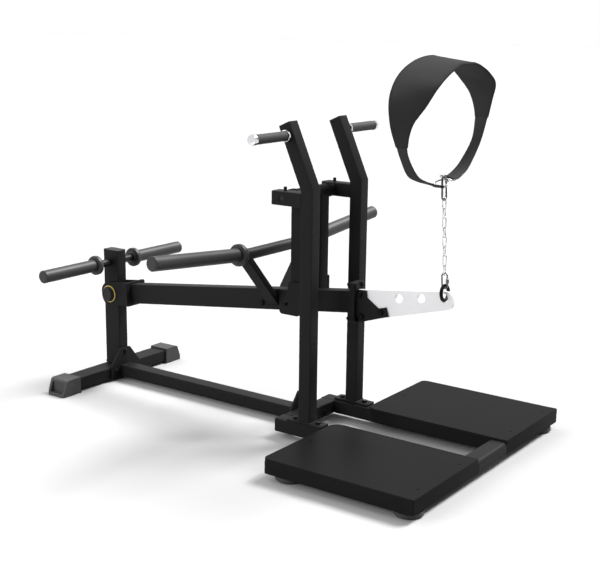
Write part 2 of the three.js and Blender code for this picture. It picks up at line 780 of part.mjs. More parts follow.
function handles() {
  const { x, z } = handleCentre;
  const collar = uprightOuter + seat;
  const grip = collar + handleCollarWidth;
  const end = grip + handleGripLength + 2 * seat;
  const tip = end + handleEndLength;
  const handle = turned([
    [0, uprightOuter - handleSpigot], [handleBarRadius, uprightOuter - handleSpigot], [handleBarRadius, collar],
    [handleCollarRadius, collar], [handleCollarRadius, grip], [handleBarRadius, grip], [handleBarRadius, end],
    [handleEndRadius, end], [handleEndRadius, tip - handleEndRound], [handleEndRadius - handleEndRound, tip],
    [0, tip],
  ], x, z);
  addPair(frame, 'handle_bar', chrome, handle);
  const sleeve = ringProfile(
    handleBarRadius + slip, handleGripRadius, grip + seat, end - seat, handleEndRound / 2,
  );
  addPair(frame, 'handle_grip', rubberGrey, turned(sleeve, x, z));
}

function supportAxle() {
  const reach = uprightOuter - axleRecess;
  const top = axleHeight + tubeSize / 2;
  const screw = join(
    rodZ(setScrewRadius, -axleBack, uprightMiddle, axleHeight, top + plateThickness, smallSteps),
    rodZ(setScrewHeadRadius, -axleBack, uprightMiddle, top + seat, top + setScrewHeadHeight, smallSteps),
  );
  add(frame, 'support_axle', zinc, join(
    rodY(axleRadius, -axleBack, axleHeight, -reach, reach), screw, mirrored(screw),
  ));
}

// Plate storage bar across the rear post

function storage() {
  const sleeveStart = storageCollarInner + collarWidth + seat;
  const sleeveEnd = storageHalfLength - sleeveCapThickness - seat;
  const bore = sleeveRadius - sleeveWall;
  const end = storageHalfLength;
  const collar = turned(ringProfile(
    0, storageCollarRadius, storageCollarInner, storageCollarInner + collarWidth, collarRound,
  ), pivotX, storageHeight);
  add(frame, 'storage_bar', sleeveGrey, join(
    rodY(storageBarRadius, pivotX, storageHeight, -end, end), collar, mirrored(collar),
  ));
  addPair(frame, 'storage_sleeve', sleeveGrey, turned(
    ringProfile(bore, sleeveRadius, sleeveStart, sleeveEnd), pivotX, storageHeight,
  ));
  addPair(frame, 'storage_end_cap', sleeveGrey, sleeveCap(
    sleeveEnd, bore, pivotX, storageHeight, storageBarRadius + seat,
  ));
}

// Swinging support, in a frame with its origin on the axle

const armSlope = radians(leverTilt);
const pinX = pivotX + pinAlong * Math.cos(armSlope);
const pinZ = pivotHeight + pinAlong * Math.sin(armSlope);

function supportFrame() {
  support.position.set(-axleBack, 0, axleHeight);
  const bushOuter = axleRadius + slip + bushWall;
  const barrelEnd = uprightInner - 2 * seat - bushFlange;
  add(support, 'support_barrel', powderBlack, turned(
    ringProfile(bushOuter + seat, barrelRadius, -barrelEnd, barrelEnd), 0, 0,
  ));
  const flangeEnd = barrelEnd + seat + bushFlange;
  const bore = axleRadius + slip;
  addPair(support, 'barrel_bush', plasticBlack, turned([
    [bore, barrelEnd - bushLength], [bushOuter, barrelEnd - bushLength], [bushOuter, barrelEnd + seat],
    [bushFlangeRadius, barrelEnd + seat], [bushFlangeRadius, flangeEnd], [bore, flangeEnd],
    [bore, barrelEnd - bushLength],
  ], 0, 0));

  const legMiddle = legGap / 2 + tubeSize / 2;
  const legOuter = legGap / 2 + tubeSize;
  const bottom = legBottom - axleHeight;
  const leg = join(
    tube([vec(0, legMiddle, bottom), vec(0, legMiddle, -legCope)], unitX, tubeSize, tubeSize),
    bar(vec(0, legMiddle, bottom), vec(0, legMiddle, bottom + wall), unitX, tubeSize, tubeSize),
  );
  const barrelSpace = rodY(barrelRadius + seat, 0, 0, legGap / 2 - overrun, legOuter + overrun);

  const pin = vec(pinX + axleBack, 0, pinZ - axleHeight);
  const ledgeRadius = Math.hypot(pin.x, pin.z) + pinRadius + seat;
  const [rear, front] = [axleBack - hookBack, tubeSize / 2];
  const [low, high, wallTop] = [hookBottom, hookTop, hookWallTop].map((z) => z - axleHeight);
  const jawFront = pin.x + pinRadius + seat;
  const shape = outline([
    [rear, low, hookCorner], [front, low, hookCorner], [front, high], [-front, high], [jawFront, wallTop],
    [rear, wallTop],
  ]);
  const inner = legOuter - weld;
  const outer = legOuter + plateThickness;
  const jaw = overlapOf(
    rodY(ledgeRadius, 0, 0, inner - overrun, outer + overrun, roundSteps * 16),
    block(rear - overrun, jawFront, inner - 2 * overrun, outer + 2 * overrun, low - overrun, high),
  );
  const hookPlate = cut(plateY(shape, inner, outer), jaw);
  addPair(support, 'support_leg', powderBlack, cut(join(leg, hookPlate), barrelSpace));
}

// Lever, in a frame with its origin on the pivot. The arm group carries what lies along the tilted arm.

const noseX = noseReach - pivotX;
const noseZ = noseX * Math.tan(armSlope);
const armStart = webAlong + webThickness + seat;

function clevis() {
  const half = clevisHeight / 2;
  const inner = clevisGap / 2;
  const outer = inner + plateThickness;
  const shape = outline([
    [-clevisBack, -half, clevisCorner], [webAlong + weld, -half], [webAlong + weld, half],
    [-clevisBack, half, clevisCorner],
  ]);
  const hole = rodY(pivotRadius + seat, 0, 0, inner - overrun, outer + overrun);
  const sidePlate = cut(plateY(shape, inner, outer), hole);
  const web = outline([
    [-webHalfWidth, -half, webCorner], [webHalfWidth, -half, webCorner], [webHalfWidth, half, webCorner],
    [-webHalfWidth, half, webCorner],
  ]);
  add(arm, 'lever_clevis', powderBlack, join(
    sidePlate, mirrored(sidePlate), plateX(web, webAlong, webAlong + webThickness),
  ));

  const washer = outer + seat;
  const cap = washer + washerThickness + seat;
  addPair(arm, 'pivot_washer', washerYellow, turned(
    ringProfile(pivotRadius + seat, washerRadius, washer, washer + washerThickness, seat), 0, 0,
  ));
  const top = cap + pivotCapHeight;
  const domedCap = turned([
    [0, cap], [pivotCapRadius, cap], [pivotCapRadius, top - pivotCapRound], [pivotCapRadius - pivotCapRound, top],
    [0, top],
  ], 0, 0);
  add(arm, 'pivot_shaft', zinc, join(rodY(pivotRadius, 0, 0, -cap - weld, cap + weld), domedCap, mirrored(domedCap)));
}

function armTube() {
  const end = noseX / Math.cos(armSlope) + armHeight;
  const body = tube([vec(armStart, 0, 0), vec(end, 0, 0)], unitY, armWidth, armHeight);
  const noseCut = block(0, 2 * armHeight, -armWidth, armWidth, -2 * armHeight, 2 * armHeight)
    .translate(noseX + weld, 0, noseZ).rotateY(armSlope);
  const endFlange = flange(noseX).rotateY(armSlope);
  const half = doublerHeight / 2;
  const doubler = plateY(outline([
    [pinAlong - doublerBack, -half, doublerCorner], [pinAlong + doublerFront, -half, doublerCorner],
    [pinAlong + doublerFront, half, doublerCorner], [pinAlong - doublerBack, half, doublerCorner],
  ]), armWidth / 2 - weld, armWidth / 2 + doublerThickness);
  const reach = armWidth / 2 + doublerThickness + overrun;
  add(arm, 'lever_arm', powderBlack, cut(
    join(cut(body, noseCut), endFlange, doubler, mirrored(doubler)),
    rodY(pinRadius + seat, pinAlong, 0, -reach, reach, smallSteps),
    rodY(boltRadius + slip, crossBoltAlong, -crossBoltDrop, -reach, reach, smallSteps),
  ));
  add(arm, 'rest_pin', zinc, rodY(pinRadius, pinAlong, 0, -pinHalfLength, pinHalfLength, smallSteps));
}

function loadBar() {
  const foot = vec(strutFootAlong, armWidth / 2, -strutFootBelow);
  const top = vec(loadAlong, strutTopSpread, loadAbove);
  const along = top.clone().sub(foot).normalize();
  const side = unitX.clone().addScaledVector(along, -along.x).normalize();
  const strut = cut(
    tube([foot.clone().addScaledVector(along, -tubeSize), top], side, tubeSize, strutThickness),
    block(0, 2 * loadAlong, -armWidth, armWidth / 2 + seat, -armHeight, armHeight),
    rodY(loadBarRadius + seat, loadAlong, loadAbove, 0, loadHalfLength),
  );
  addPair(arm, 'load_strut', powderBlack, strut);

  const bore = loadBarRadius - loadBarWall;
  const end = loadHalfLength - sleeveCapThickness - seat;
  const collarEnd = loadCollarInner + collarWidth;
  const collar = turned(
    ringProfile(loadBarRadius - weld, loadCollarRadius, loadCollarInner, collarEnd, collarRound),
    loadAlong, loadAbove,
  );
  add(arm, 'load_bar', powderBlack, join(
    turned(ringProfile(bore, loadBarRadius, -end, end), loadAlong, loadAbove), collar, mirrored(collar),
  ));
  addPair(arm, 'load_sleeve', sleeveGrey, turned(
    ringProfile(loadBarRadius + seat, sleeveRadius, collarEnd + seat, end), loadAlong, loadAbove,
  ));
  addPair(arm, 'load_end_cap', sleeveGrey, sleeveCap(end, bore, loadAlong, loadAbove));
}

const cheekRoot = noseX + 2 * flangeThickness + seat;
const plateRoot = cheekRoot + seat;
const cheekInner = leverPlateThickness / 2 + seat;
const cheekOuter = cheekInner + plateThickness;
const cheekPoint = ([along, up]) => [cheekRoot - weld + along * cheekLength, noseZ - cheekDrop + up * cheekHeight];
const towHole = vec(
  plateRoot + leverPlateLength - towHoleInset,
  0,
  noseZ - leverPlateDrop + leverPlateRoot / 2 + leverPlateRise + towHoleRise,
);

function flange(x) {
  const halfWidth = flangeWidth / 2;
  const halfHeight = flangeHeight / 2;
  const corners = [[-1, -1], [1, -1], [1, 1], [-1, 1]];
  const shape = outline(corners.map(([y, z]) => [y * halfWidth, noseZ + z * halfHeight, flangeCorner]));
  const holes = corners.map(([y, z]) => rodX(
    flangeBoltRadius + slip, y * (halfWidth - flangeBoltInset), noseZ + z * (halfHeight - flangeBoltInset),
    x - overrun, x + flangeThickness + overrun, smallSteps,
  ));
  return cut(plateX(shape, x, x + flangeThickness), ...holes);
}

function nose() {
  const cheekHoles = cheekBoltShares.map(cheekPoint).map(([x, z]) => rodY(
    boltRadius + slip, x, z, -cheekOuter - overrun, cheekOuter + overrun, smallSteps,
  ));
  const cheek = cut(plateY(outline(cheekOutlineShares.map(cheekPoint)), cheekInner, cheekOuter), ...cheekHoles);
  add(lever, 'nose_bracket', powderBlack, join(
    flange(noseX + flangeThickness + seat), cheek, mirrored(cheek),
  ));

  const rootBottom = noseZ - leverPlateDrop;
  const tipMiddle = rootBottom + leverPlateRoot / 2 + leverPlateRise;
  const tip = plateRoot + leverPlateLength;
  const [bellyAlong, bellyUp] = leverPlateBellyShares;
  const plate = plateY(outline([
    [plateRoot, rootBottom], [plateRoot + bellyAlong * leverPlateLength, rootBottom + bellyUp * leverPlateRoot],
    [tip, tipMiddle - leverPlateTip / 2, leverPlateTipRadius],
    [tip, tipMiddle + leverPlateTip / 2, leverPlateTipRadius], [plateRoot, rootBottom + leverPlateRoot],
  ]), -leverPlateThickness / 2, leverPlateThickness / 2);
  const slope = radians(towHoleSlope);
  const towHoles = Array.from({ length: towHoleCount }, (_, i) => rodY(
    towHoleRadius, towHole.x - i * towHolePitch * Math.cos(slope), towHole.z - i * towHolePitch * Math.sin(slope),
    -leverPlateThickness, leverPlateThickness,
  ));
  add(lever, 'lever_plate', leverWhite, cut(plate, ...towHoles, ...cheekHoles));
}

// Tether: tow ring, quick link, chain and snap hook, stacked upwards from the tow hole

function tetherParts() {
  const ringCentre = ringRadius - ringDrop;
  add(tether, 'tow_ring', chrome, new THREE.TorusGeometry(ringRadius, ringWire, wireSides, roundSteps)
    .rotateY(Math.PI / 2).translate(0, 0, ringCentre));

  const linkFloor = ringCentre + ringRadius - ringWire - linkGap;
  add(tether, 'quick_link', chrome, chainLink(
    unitX, linkFloor + linkInnerLength / 2, linkInnerLength, linkHalfWidth, linkWire,
  ));

  const chainFloor = linkFloor + linkInnerLength - linkGap;
  const chainStep = chainPitch + chainBite;
  const links = Array.from({ length: chainCount }, (_, i) => chainLink(
    i % 2 === 0 ? unitY : unitX, chainFloor + chainPitch / 2 + i * chainStep, chainPitch, chainHalfWidth, chainWire,
  ));
  add(tether, 'chain', chrome, join(...links));

  const hookFloor = chainFloor + chainPitch + (chainCount - 1) * chainStep - linkGap;
  const foot = vec(0, 0, hookFloor - hookWire + hookFootRadius);
  const head = vec(0, 0, hookFloor - hookWire + hookLength - hookHeadRadius);
  const gateFoot = foot.z + gateShoulder;
  const gateTop = gateFoot + gateGap + gateLength;
  const noseY = THREE.MathUtils.mapLinear(gateTop, foot.z, head.z, hookFootRadius, hookHeadRadius);
  const body = wire([
    vec(0, noseY, gateTop + gateGap),
    ...arc(head, unitY, unitZ, hookHeadRadius, 0, 180, hookArcSteps),
    ...arc(foot, unitY, unitZ, hookFootRadius, 180, 360, hookArcSteps),
    vec(0, hookFootRadius, gateFoot),
  ], unitX, hookWire);
  add(tether, 'snap_hook', chrome, body);
  const gate = wire([vec(0, hookFootRadius, gateFoot + gateGap), vec(0, noseY, gateTop)], unitX, gateRadius);
  add(tether, 'snap_gate', zinc, gate);
  return head;
}

// Belt: D rings, straps and pad, in a frame with its origin at the middle of the snap hook's head

const loopPoint = (degrees, radius, x) => {
  const angle = radians(degrees);
  return vec(x, radius * Math.sin(angle), beltCentreRise - radius * Math.cos(angle));
};
const loopCurve = (angles, radiusShares, offsetShares) => {
  const farSide = angles.map((degrees, i) => loopPoint(
    degrees, radiusShares[i] * beltHalfWidth, offsetShares[i] * padWidth,
  ));
  const nearSide = farSide.slice(0, -1).reverse().map((point) => vec(point.x, -point.y, point.z));
  return new THREE.CatmullRomCurve3([...farSide, ...nearSide]);
};

// A strip of webbing through pairs of edge points, rear and front. Each section point is given as shares: its
// place from rear to front, then its inset and its height of the thickness.
const stripSectionShares = [
  [1, -0.25, -0.5], [1, 0, -0.25], [1, 0, 0.25], [1, -0.25, 0.5],
  [0, 0.25, 0.5], [0, 0, 0.25], [0, 0, -0.25], [0, 0.25, -0.5],
];

function stripNormal(edges, i) {
  const before = edges[Math.max(i - 1, 0)];
  const after = edges[Math.min(i + 1, edges.length - 1)];
  const tangent = after[0].clone().add(after[1]).sub(before[0]).sub(before[1]);
  return tangent.cross(edges[i][1].clone().sub(edges[i][0])).normalize();
}

function strip(edges, thickness) {
  return solidSkin(edges.map(([rear, front], i) => {
    const width = front.clone().sub(rear).normalize();
    const normal = stripNormal(edges, i);
    return stripSectionShares.map(([across, inset, up]) => rear.clone().lerp(front, across)
      .addScaledVector(width, inset * thickness).addScaledVector(normal, up * thickness));
  }));
}

function dRing(side, rise) {
  const arcMiddle = dRingHalfWidth - dRingPast;
  const cornerX = dRingHalfWidth - dRingCorner;
  const cornerY = dRingDepth - dRingPast - dRingCorner;
  return onSide(side, wire([
    ...arc(vec(0, arcMiddle, 0), unitX, unitY, dRingHalfWidth, 180, 360, smallSteps),
    ...arc(vec(cornerX, cornerY, 0), unitX, unitY, dRingCorner, 0, 90, cornerSteps),
    ...arc(vec(-cornerX, cornerY, 0), unitX, unitY, dRingCorner, 90, 180, cornerSteps),
  ], unitZ, dRingWire, true)
    .translate(0, dRingPast, 0).rotateX(-radians(dRingTilt)).translate(0, -dRingPast, rise));
}

function strap(side, rise, padEdges) {
  const tilt = radians(dRingTilt);
  const eye = vec(0, dRingDepth * Math.cos(tilt) - dRingPast, rise - dRingDepth * Math.sin(tilt));
  const sewn = padEdges.slice(0, strapSewnSteps + 1).map(([rear, front]) => {
    const trim = (1 - strapWidth / rear.distanceTo(front)) / 2;
    return [rear.clone().lerp(front, trim), rear.clone().lerp(front, 1 - trim)];
  });
  const freeEdge = (end) => new THREE.CatmullRomCurve3([
    eye.clone().setX((end - 1 / 2) * strapEyeWidth),
    ...strapAngles.map((degrees, i) => loopPoint(
      degrees, strapRadiusShares[i] * beltHalfWidth, (strapOffsetShares[i] + end - 1 / 2) * strapWidth,
    )),
    sewn[0][end], sewn[1][end],
  ]);
  const [rearEdge, frontEdge] = [freeEdge(0), freeEdge(1)];
  const freeShare = (strapAngles.length + 1) / (strapAngles.length + 2);
  const free = Array.from({ length: strapSteps }, (_, i) => [rearEdge, frontEdge].map(
    (edge) => edge.getPoint((i / strapSteps) * freeShare),
  ));
  const bore = dRingWire + slip;
  const half = strapEyeWidth / 2;
  return onSide(side, cut(
    join(strip([...free, ...sewn], strapThickness), rodX(bore + strapThickness, eye.y, eye.z, -half, half, smallSteps)),
    rodX(bore, eye.y, eye.z, -half - overrun, half + overrun, smallSteps),
  ));
}

function beltParts() {
  const rearEdge = loopCurve(padAngles, padRearRadiusShares, padRearOffsetShares);
  const frontEdge = loopCurve(padAngles, padFrontRadiusShares, padFrontOffsetShares);
  const steps = 2 * (padAngles.length - 1) * padStepsPerSegment;
  const padEdges = Array.from({ length: steps + 1 }, (_, i) => [
    rearEdge.getPoint(i / steps), frontEdge.getPoint(i / steps),
  ]);
  add(belt, 'belt_pad', beltBlack, join(
    strip(padEdges, beltThickness), strap(near, nearRingRise, padEdges), strap(far, farRingRise, padEdges),
  ));
  add(belt, 'belt_ring_near', chrome, dRing(near, nearRingRise));
  add(belt, 'belt_ring_far', chrome, dRing(far, farRingRise));
}

rearFootCaps();
rearPost();
baseRail();
baseFront();
decks();
deckFeet();
uprights();
handles();
supportAxle();
storage();
supportFrame();
lever.position.set(pivotX, 0, pivotHeight);
arm.rotation.y = -armSlope;
clevis();
armTube();
loadBar();
nose();
tether.position.set(pivotX + towHole.x, 0, pivotHeight + towHole.z);
tether.rotation.y = -radians(tetherLean);
const hookHead = tetherParts();
tether.updateMatrix();
belt.position.copy(hookHead.applyMatrix4(tether.matrix));
beltParts();

const rearReach = pivotX - postDepth / 2 - footCapWall;
machine.position.x = -(deckFront + rearReach) / 2;

export default machine;
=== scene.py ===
# %% [markdown]
# # Dressing a belt squat machine
# A belt squat machine is a steel lever that a lifter raises with a belt round the waist. The
# solids of this one come from a CAD model, so every tube and plate is already in place. What is
# left for Blender is what makes them look real: coats, edges, welds, bolts and cloth.
# The first cell loads the solids. They stay where they are, and new pieces are built to fit them.

# %% Load the machine
import math

import bpy
from mathutils import Matrix, Vector
from mathutils.geometry import tessellate_polygon


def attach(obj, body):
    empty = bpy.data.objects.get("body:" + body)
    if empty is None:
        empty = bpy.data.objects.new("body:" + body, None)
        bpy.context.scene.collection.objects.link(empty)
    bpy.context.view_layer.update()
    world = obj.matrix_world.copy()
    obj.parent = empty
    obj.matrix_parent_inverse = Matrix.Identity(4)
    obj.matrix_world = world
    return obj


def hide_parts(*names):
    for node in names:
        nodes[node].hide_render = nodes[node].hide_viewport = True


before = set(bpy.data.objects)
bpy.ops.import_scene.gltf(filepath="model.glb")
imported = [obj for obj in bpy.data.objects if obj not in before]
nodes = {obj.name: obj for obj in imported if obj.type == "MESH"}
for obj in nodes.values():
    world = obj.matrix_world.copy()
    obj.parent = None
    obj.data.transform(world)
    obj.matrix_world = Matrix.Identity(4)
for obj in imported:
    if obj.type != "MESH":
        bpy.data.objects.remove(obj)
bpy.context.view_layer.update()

# %% [markdown]
# ## Where things are
# The machine's own measures are in millimetres, so one named value turns them into Blender's
# metres. X runs from the rear post to the decks, Y to the far side and Z up. Three parts of the
# machine have frames of their own: the lever leans, the chain leans a little the other way, and
# the belt hangs upright round the head of the snap hook.

# %% Frames of the moving parts
mm = 0.001
near, far = -1, 1
sides = {"near": near, "far": far}
unit_x, unit_y, unit_z = Vector((1, 0, 0)), Vector((0, 1, 0)), Vector((0, 0, 1))
uprights_front = 264  # mm, the front faces of the two uprights
post_x = -850


class Place:
    """An origin with three directions, which turns local millimetres into metres."""

    def __init__(self, origin, lean=0):
        self.origin = Vector(origin) * mm
        self.turn = Matrix.Rotation(math.radians(-lean), 3, "Y")

    def at(self, x, y, z):
        return self.origin + self.turn @ Vector((x, y, z)) * mm

    def way(self, x, y, z):
        return self.turn @ Vector((x, y, z))


floor = Place((0, 0, 0))
front = Place((uprights_front, 0, 0))
lever = Place((post_x, 0, 362), lean=6.97)
tether = Place((688.6, 0, 570.27), lean=3)
belt = Place((667.68, 0, 969.42))
print("lever's tip direction:", [round(value, 3) for value in lever.way(1, 0, 0)])

# %% [markdown]
# ## The camera
# The photograph was taken from in front of the near deck, a little above the handles. Its place
# was worked out from the machine's square tubes, whose edges point to three vanishing points. A
# matrix of three directions sets the camera more exactly than a constraint would, because the
# photograph also rolls by part of a degree.

# %% Camera
turn, pitch, roll = (math.radians(angle) for angle in (35.522, 13.387, 0.7067))
camera_back = Vector((math.sin(turn) * math.cos(pitch), -math.cos(turn) * math.cos(pitch), math.sin(pitch)))
camera_right = Vector((math.cos(turn), math.sin(turn), 0))
level = Matrix((camera_right, camera_back.cross(camera_right), camera_back)).transposed()

camera = bpy.data.objects.new("camera", bpy.data.cameras.new("camera"))
bpy.context.collection.objects.link(camera)
camera.location = Vector((2486.4, -3355.9, 1483.8)) * mm
camera.rotation_euler = (level @ Matrix.Rotation(roll, 3, "Z")).to_euler()
camera.data.lens = 69.38
camera.data.clip_end = 200
bpy.context.scene.camera = camera
print("camera is", round(camera.location.length, 2), "m from the machine's middle")

# %% [markdown]
# ## Shader sums as plain Python
# Most patterns here are sums of a few noises. Wiring each Math node by hand hides the idea, so
# one small class wraps the output of a node and lets Python's own signs add the nodes. Any other
# node comes from a single method, which takes its settings and what its sockets hold.


# %% The value class
class Value:
    """One number or vector in a finish, as the output of a node."""

    def __init__(self, finish, socket):
        self.finish = finish
        self.socket = socket

    def _sum(self, operation, first, second):
        return self.finish.node("Math", {"operation": operation}, {0: first, 1: second})

    def __add__(self, other):
        return self._sum("ADD", self, other)

    def __sub__(self, other):
        return self._sum("SUBTRACT", self, other)

    def __rsub__(self, other):
        return self._sum("SUBTRACT", other, self)

    def __mul__(self, other):
        return self._sum("MULTIPLY", self, other)

    __radd__ = __add__
    __rmul__ = __mul__

    def clipped(self):
        return self.finish.node("Clamp", None, {"Value": self})


# %% The finish class
class Finish:
    """A material with one Principled shader, and helpers for its patterns."""

    made = {}

    def __init__(self, name, **sockets):
        self.material = bpy.data.materials.new(name)
        self.material.use_nodes = True
        self.tree = self.material.node_tree
        self.shader = self.tree.nodes["Principled BSDF"]
        self.place = self.node("TexCoord", out="Object")
        for socket, value in sockets.items():
            self.feed(socket.replace("_", " "), value)
        Finish.made[name] = self

    def join(self, socket, value):
        if isinstance(value, Value):
            self.tree.links.new(value.socket, socket)
        elif isinstance(value, tuple) and socket.type == "RGBA":
            socket.default_value = (*value, 1)
        else:
            socket.default_value = value

    def feed(self, socket, value):
        self.join(self.shader.inputs[socket], value)

    def node(self, kind, settings=None, sockets=None, out=0):
        node = self.tree.nodes.new("ShaderNode" + kind)
        for name, value in (settings or {}).items():
            setattr(node, name, value)
        for name, value in (sockets or {}).items():
            self.join(node.inputs[name], value)
        return Value(self, node.outputs[out])

    def noise(self, size, detail=2.0, stretch=None, roughness=0.5):
        """Noise from 0 to 1 whose lumps are about size millimetres wide."""
        place = self.place
        if stretch:
            place = self.node("VectorMath", {"operation": "MULTIPLY"}, {0: place, 1: stretch})
        return self.node("TexNoise", None, {
            "Vector": place, "Scale": 1 / (size * mm), "Detail": detail, "Roughness": roughness,
        })

    def blend(self, share, first, second):
        return self.node("Mix", {"data_type": "RGBA"}, {0: share, 6: first, 7: second}, out=2)

    def edges(self, width):
        """1 on corners sharper than about width millimetres, and 0 on flat ground."""
        soft = self.node("Bevel", {"samples": 4}, {"Radius": width * mm})
        true = self.node("NewGeometry", out="Normal")
        alike = self.node("VectorMath", {"operation": "DOT_PRODUCT"}, {0: soft, 1: true}, out="Value")
        return ((1 - alike) * 9).clipped()

    def relief(self, height, depth):
        """Feeds the normal from a height, where 1 stands depth millimetres proud."""
        self.feed("Normal", self.node("Bump", None, {
            "Height": height, "Distance": depth * mm, "Strength": 1.0,
        }))


def grey(level):
    """The colour of a neutral surface that returns this share of the light."""
    return (level, level, level * 1.02)


print("sums and finishes are ready")

# %% [markdown]
# ## Powder coat
# The frame is powder coated: a dry paint, baked on, that sets with a fine orange peel and a soft
# sheen. Three noises make it: a broad one for uneven tone, a fine one for the peel, and a very
# fine one for grain. On the real machine the coat is thinnest on corners, where handling also
# polishes it, so a mask of the edges makes them smoother and slightly paler. The paler edges
# are partly that wear and partly a painted highlight along every edge. The decks, the support's
# barrel and the white lever plate get the same kind of coat in their own tones.


# %% Powder coats
def powder(name, level, roughness, peel, sheen):
    coat = Finish(name, Specular_IOR_Level=sheen)
    tone = coat.noise(260, detail=3)
    grain = coat.noise(0.9, detail=1)
    # the edge mask: wear on the corners, and a painted highlight along every edge
    wear_and_edge_highlight = coat.edges(1.6) * (0.35 + coat.noise(14) * 0.9)
    base = coat.blend(tone, grey(level * 0.86), grey(level * 1.14))
    coat.feed("Base Color", coat.blend(wear_and_edge_highlight * 0.42, base, grey(level * 2.6 + 0.01)))
    coat.feed("Roughness", roughness + (tone - 0.5) * 0.1 + (grain - 0.5) * 0.08 - wear_and_edge_highlight * 0.1)
    coat.relief(coat.noise(1.7) + grain * 0.4, peel)
    return coat


frame_coat = powder("frame_black", 0.008, 0.5, 0.018, sheen=0.07)
deck_coat = powder("deck_black", 0.0082, 0.36, 0.014, sheen=0.01)
white_coat = powder("lever_white", 0.55, 0.34, 0.01, sheen=0.3)
barrel_coat = powder("barrel_black", 0.006, 0.5, 0.018, sheen=0.03)
print("powder coats:", [coat.material.name for coat in (frame_coat, deck_coat, white_coat, barrel_coat)])

# %% [markdown]
# ## Sleeve coat, zinc and chrome
# The plate sleeves carry a smooth dark grey metallic coat, and plates sliding on and off draw
# faint lines along them. The pivot's shaft is zinc plated, dull and slightly mottled. The handles'
# ends and the chain are chromed, so they mostly show the room. The D rings are plated too, but
# darker, and the hook and its quick link are darker still. Bolts, pins, the tow ring and the gate
# are blackened. One function makes all the plated steels, from a tone and a mottling.


# %% Metals
def sleeve_metal(name, level, roughness, scuffs):
    coat = Finish(name, Metallic=0.4, Specular_IOR_Level=0.25)
    tone = coat.noise(90, detail=3)
    speckle = coat.noise(1.1, detail=2)
    lines = coat.noise(1.3, detail=3, stretch=(1, 0.02, 1)) * coat.noise(55, detail=2)
    worn = ((lines - 0.3) * 5).clipped() * scuffs
    base = coat.blend(tone, grey(level * 0.9), grey(level * 1.1))
    base = coat.blend(speckle * 0.5, base, grey(level * 1.45))
    coat.feed("Base Color", coat.blend(worn, base, grey(level * 1.7)))
    coat.feed("Roughness", roughness + (speckle - 0.5) * 0.14 - worn * 0.1)
    coat.relief(speckle + lines * scuffs, 0.012)
    return coat


def plated(name, level, roughness, mottle):
    metal = Finish(name, Metallic=1.0)
    patches = metal.noise(6, detail=3)
    metal.feed("Base Color", metal.blend(patches * mottle, grey(level), grey(level * 0.6)))
    metal.feed("Roughness", roughness + patches * mottle * 0.25)
    metal.relief(metal.noise(2.2, detail=2), 0.006 * mottle + 0.001)
    return metal


sleeve_coat = sleeve_metal("sleeve_steel", 0.028, 0.5, 0.5)
collar_coat = sleeve_metal("collar_steel", 0.03, 0.46, 0.15)
bar_coat = sleeve_metal("bar_steel", 0.008, 0.45, 0.1)
zinc = plated("zinc", 0.07, 0.36, 0.5)
chrome = plated("chrome", 0.7, 0.06, 0.1)
bolt_black = plated("bolt_black", 0.014, 0.42, 0.5)
link_steel = plated("link_steel", 0.16, 0.2, 0.6)
ring_steel = plated("ring_steel", 0.36, 0.12, 0.4)
metals = (sleeve_coat, collar_coat, bar_coat, zinc, chrome, bolt_black, link_steel, ring_steel)
print("metals:", [metal.material.name for metal in metals])

# %% [markdown]
# ## Rubber and plastic
# The feet and grips are moulded rubber, which scatters light and so looks chalky, with the fine
# sandblasted grain of its mould. The tube plugs are harder and smoother. The thin washers at the
# lever's pivot are of yellow bearing plastic, a little glossier than the rest.


# %% Moulded parts
def moulded(name, colour, roughness, grain, sheen):
    stuff = Finish(name, Specular_IOR_Level=sheen)
    bloom = stuff.noise(30, detail=4)
    pits = stuff.noise(0.8, detail=1)
    paler = tuple(min(channel * 1.35 + 0.004, 1) for channel in colour)
    stuff.feed("Base Color", stuff.blend((bloom - 0.25).clipped() * 1.2, colour, paler))
    stuff.feed("Roughness", roughness + (pits - 0.5) * 0.12 + (bloom - 0.5) * 0.1)
    stuff.relief(pits, grain)
    return stuff


foot_rubber = moulded("foot_rubber", grey(0.034), 0.62, 0.03, 0.15)
plug_plastic = moulded("plug_plastic", grey(0.008), 0.5, 0.015, 0.2)
washer_yellow = moulded("washer_yellow", (0.5, 0.37, 0.08), 0.4, 0.006, 0.5)
print("moulded:", [stuff.material.name for stuff in (foot_rubber, plug_plastic, washer_yellow)])

# %% [markdown]
# ## Knurled grips
# The two grips are rubber tubes with a shallow diamond pattern. Two sets of slanting grooves
# round the tube make diamonds where they cross. The angle round the handle and the way along it
# give the pattern its two directions, so it stays even all the way round.

# %% Grip rubber
handle_x, handle_z = 158.5, 1090.6
groove_count, groove_pitch = 24, 4.2
grip_rubber = Finish("grip_rubber", Specular_IOR_Level=0.2)
parts = {
    axis: grip_rubber.node("SeparateXYZ", None, {"Vector": grip_rubber.place}, out=axis)
    for axis in ("X", "Y", "Z")
}
round_it = grip_rubber.node("Math", {"operation": "ARCTAN2"}, {
    0: parts["Z"] - handle_z * mm, 1: parts["X"] - handle_x * mm,
})
slant = parts["Y"] * (math.tau / (groove_pitch * mm))
first_groove, second_groove = (
    grip_rubber.node("Math", {"operation": "SINE"}, {0: round_it * groove_count + slant * hand})
    for hand in (1, -1)
)
diamonds = first_groove * second_groove * 0.5 + 0.5
dusting = grip_rubber.noise(25, detail=3)
# The grooves are coloured darker than the raised diamonds between them: painted shade in the grooves.
grip_rubber.feed("Base Color", grip_rubber.blend(diamonds * 0.5 + dusting * 0.5, grey(0.015), grey(0.033)))
grip_rubber.feed("Roughness", 0.52 + dusting * 0.16)
grip_rubber.relief(diamonds, 0.35)
print("grip grooves round each handle:", groove_count)

# %% [markdown]
# ## Belt cloth
# The belt has two fabrics. The pad is covered in a tight basket weave with a matt face, and the
# straps are nylon webbing with ribs across and a fine twill along. Each piece of the belt carries
# two measures on its points, the way along it and the way across it, so the weave follows the
# curve of the belt instead of cutting through it.


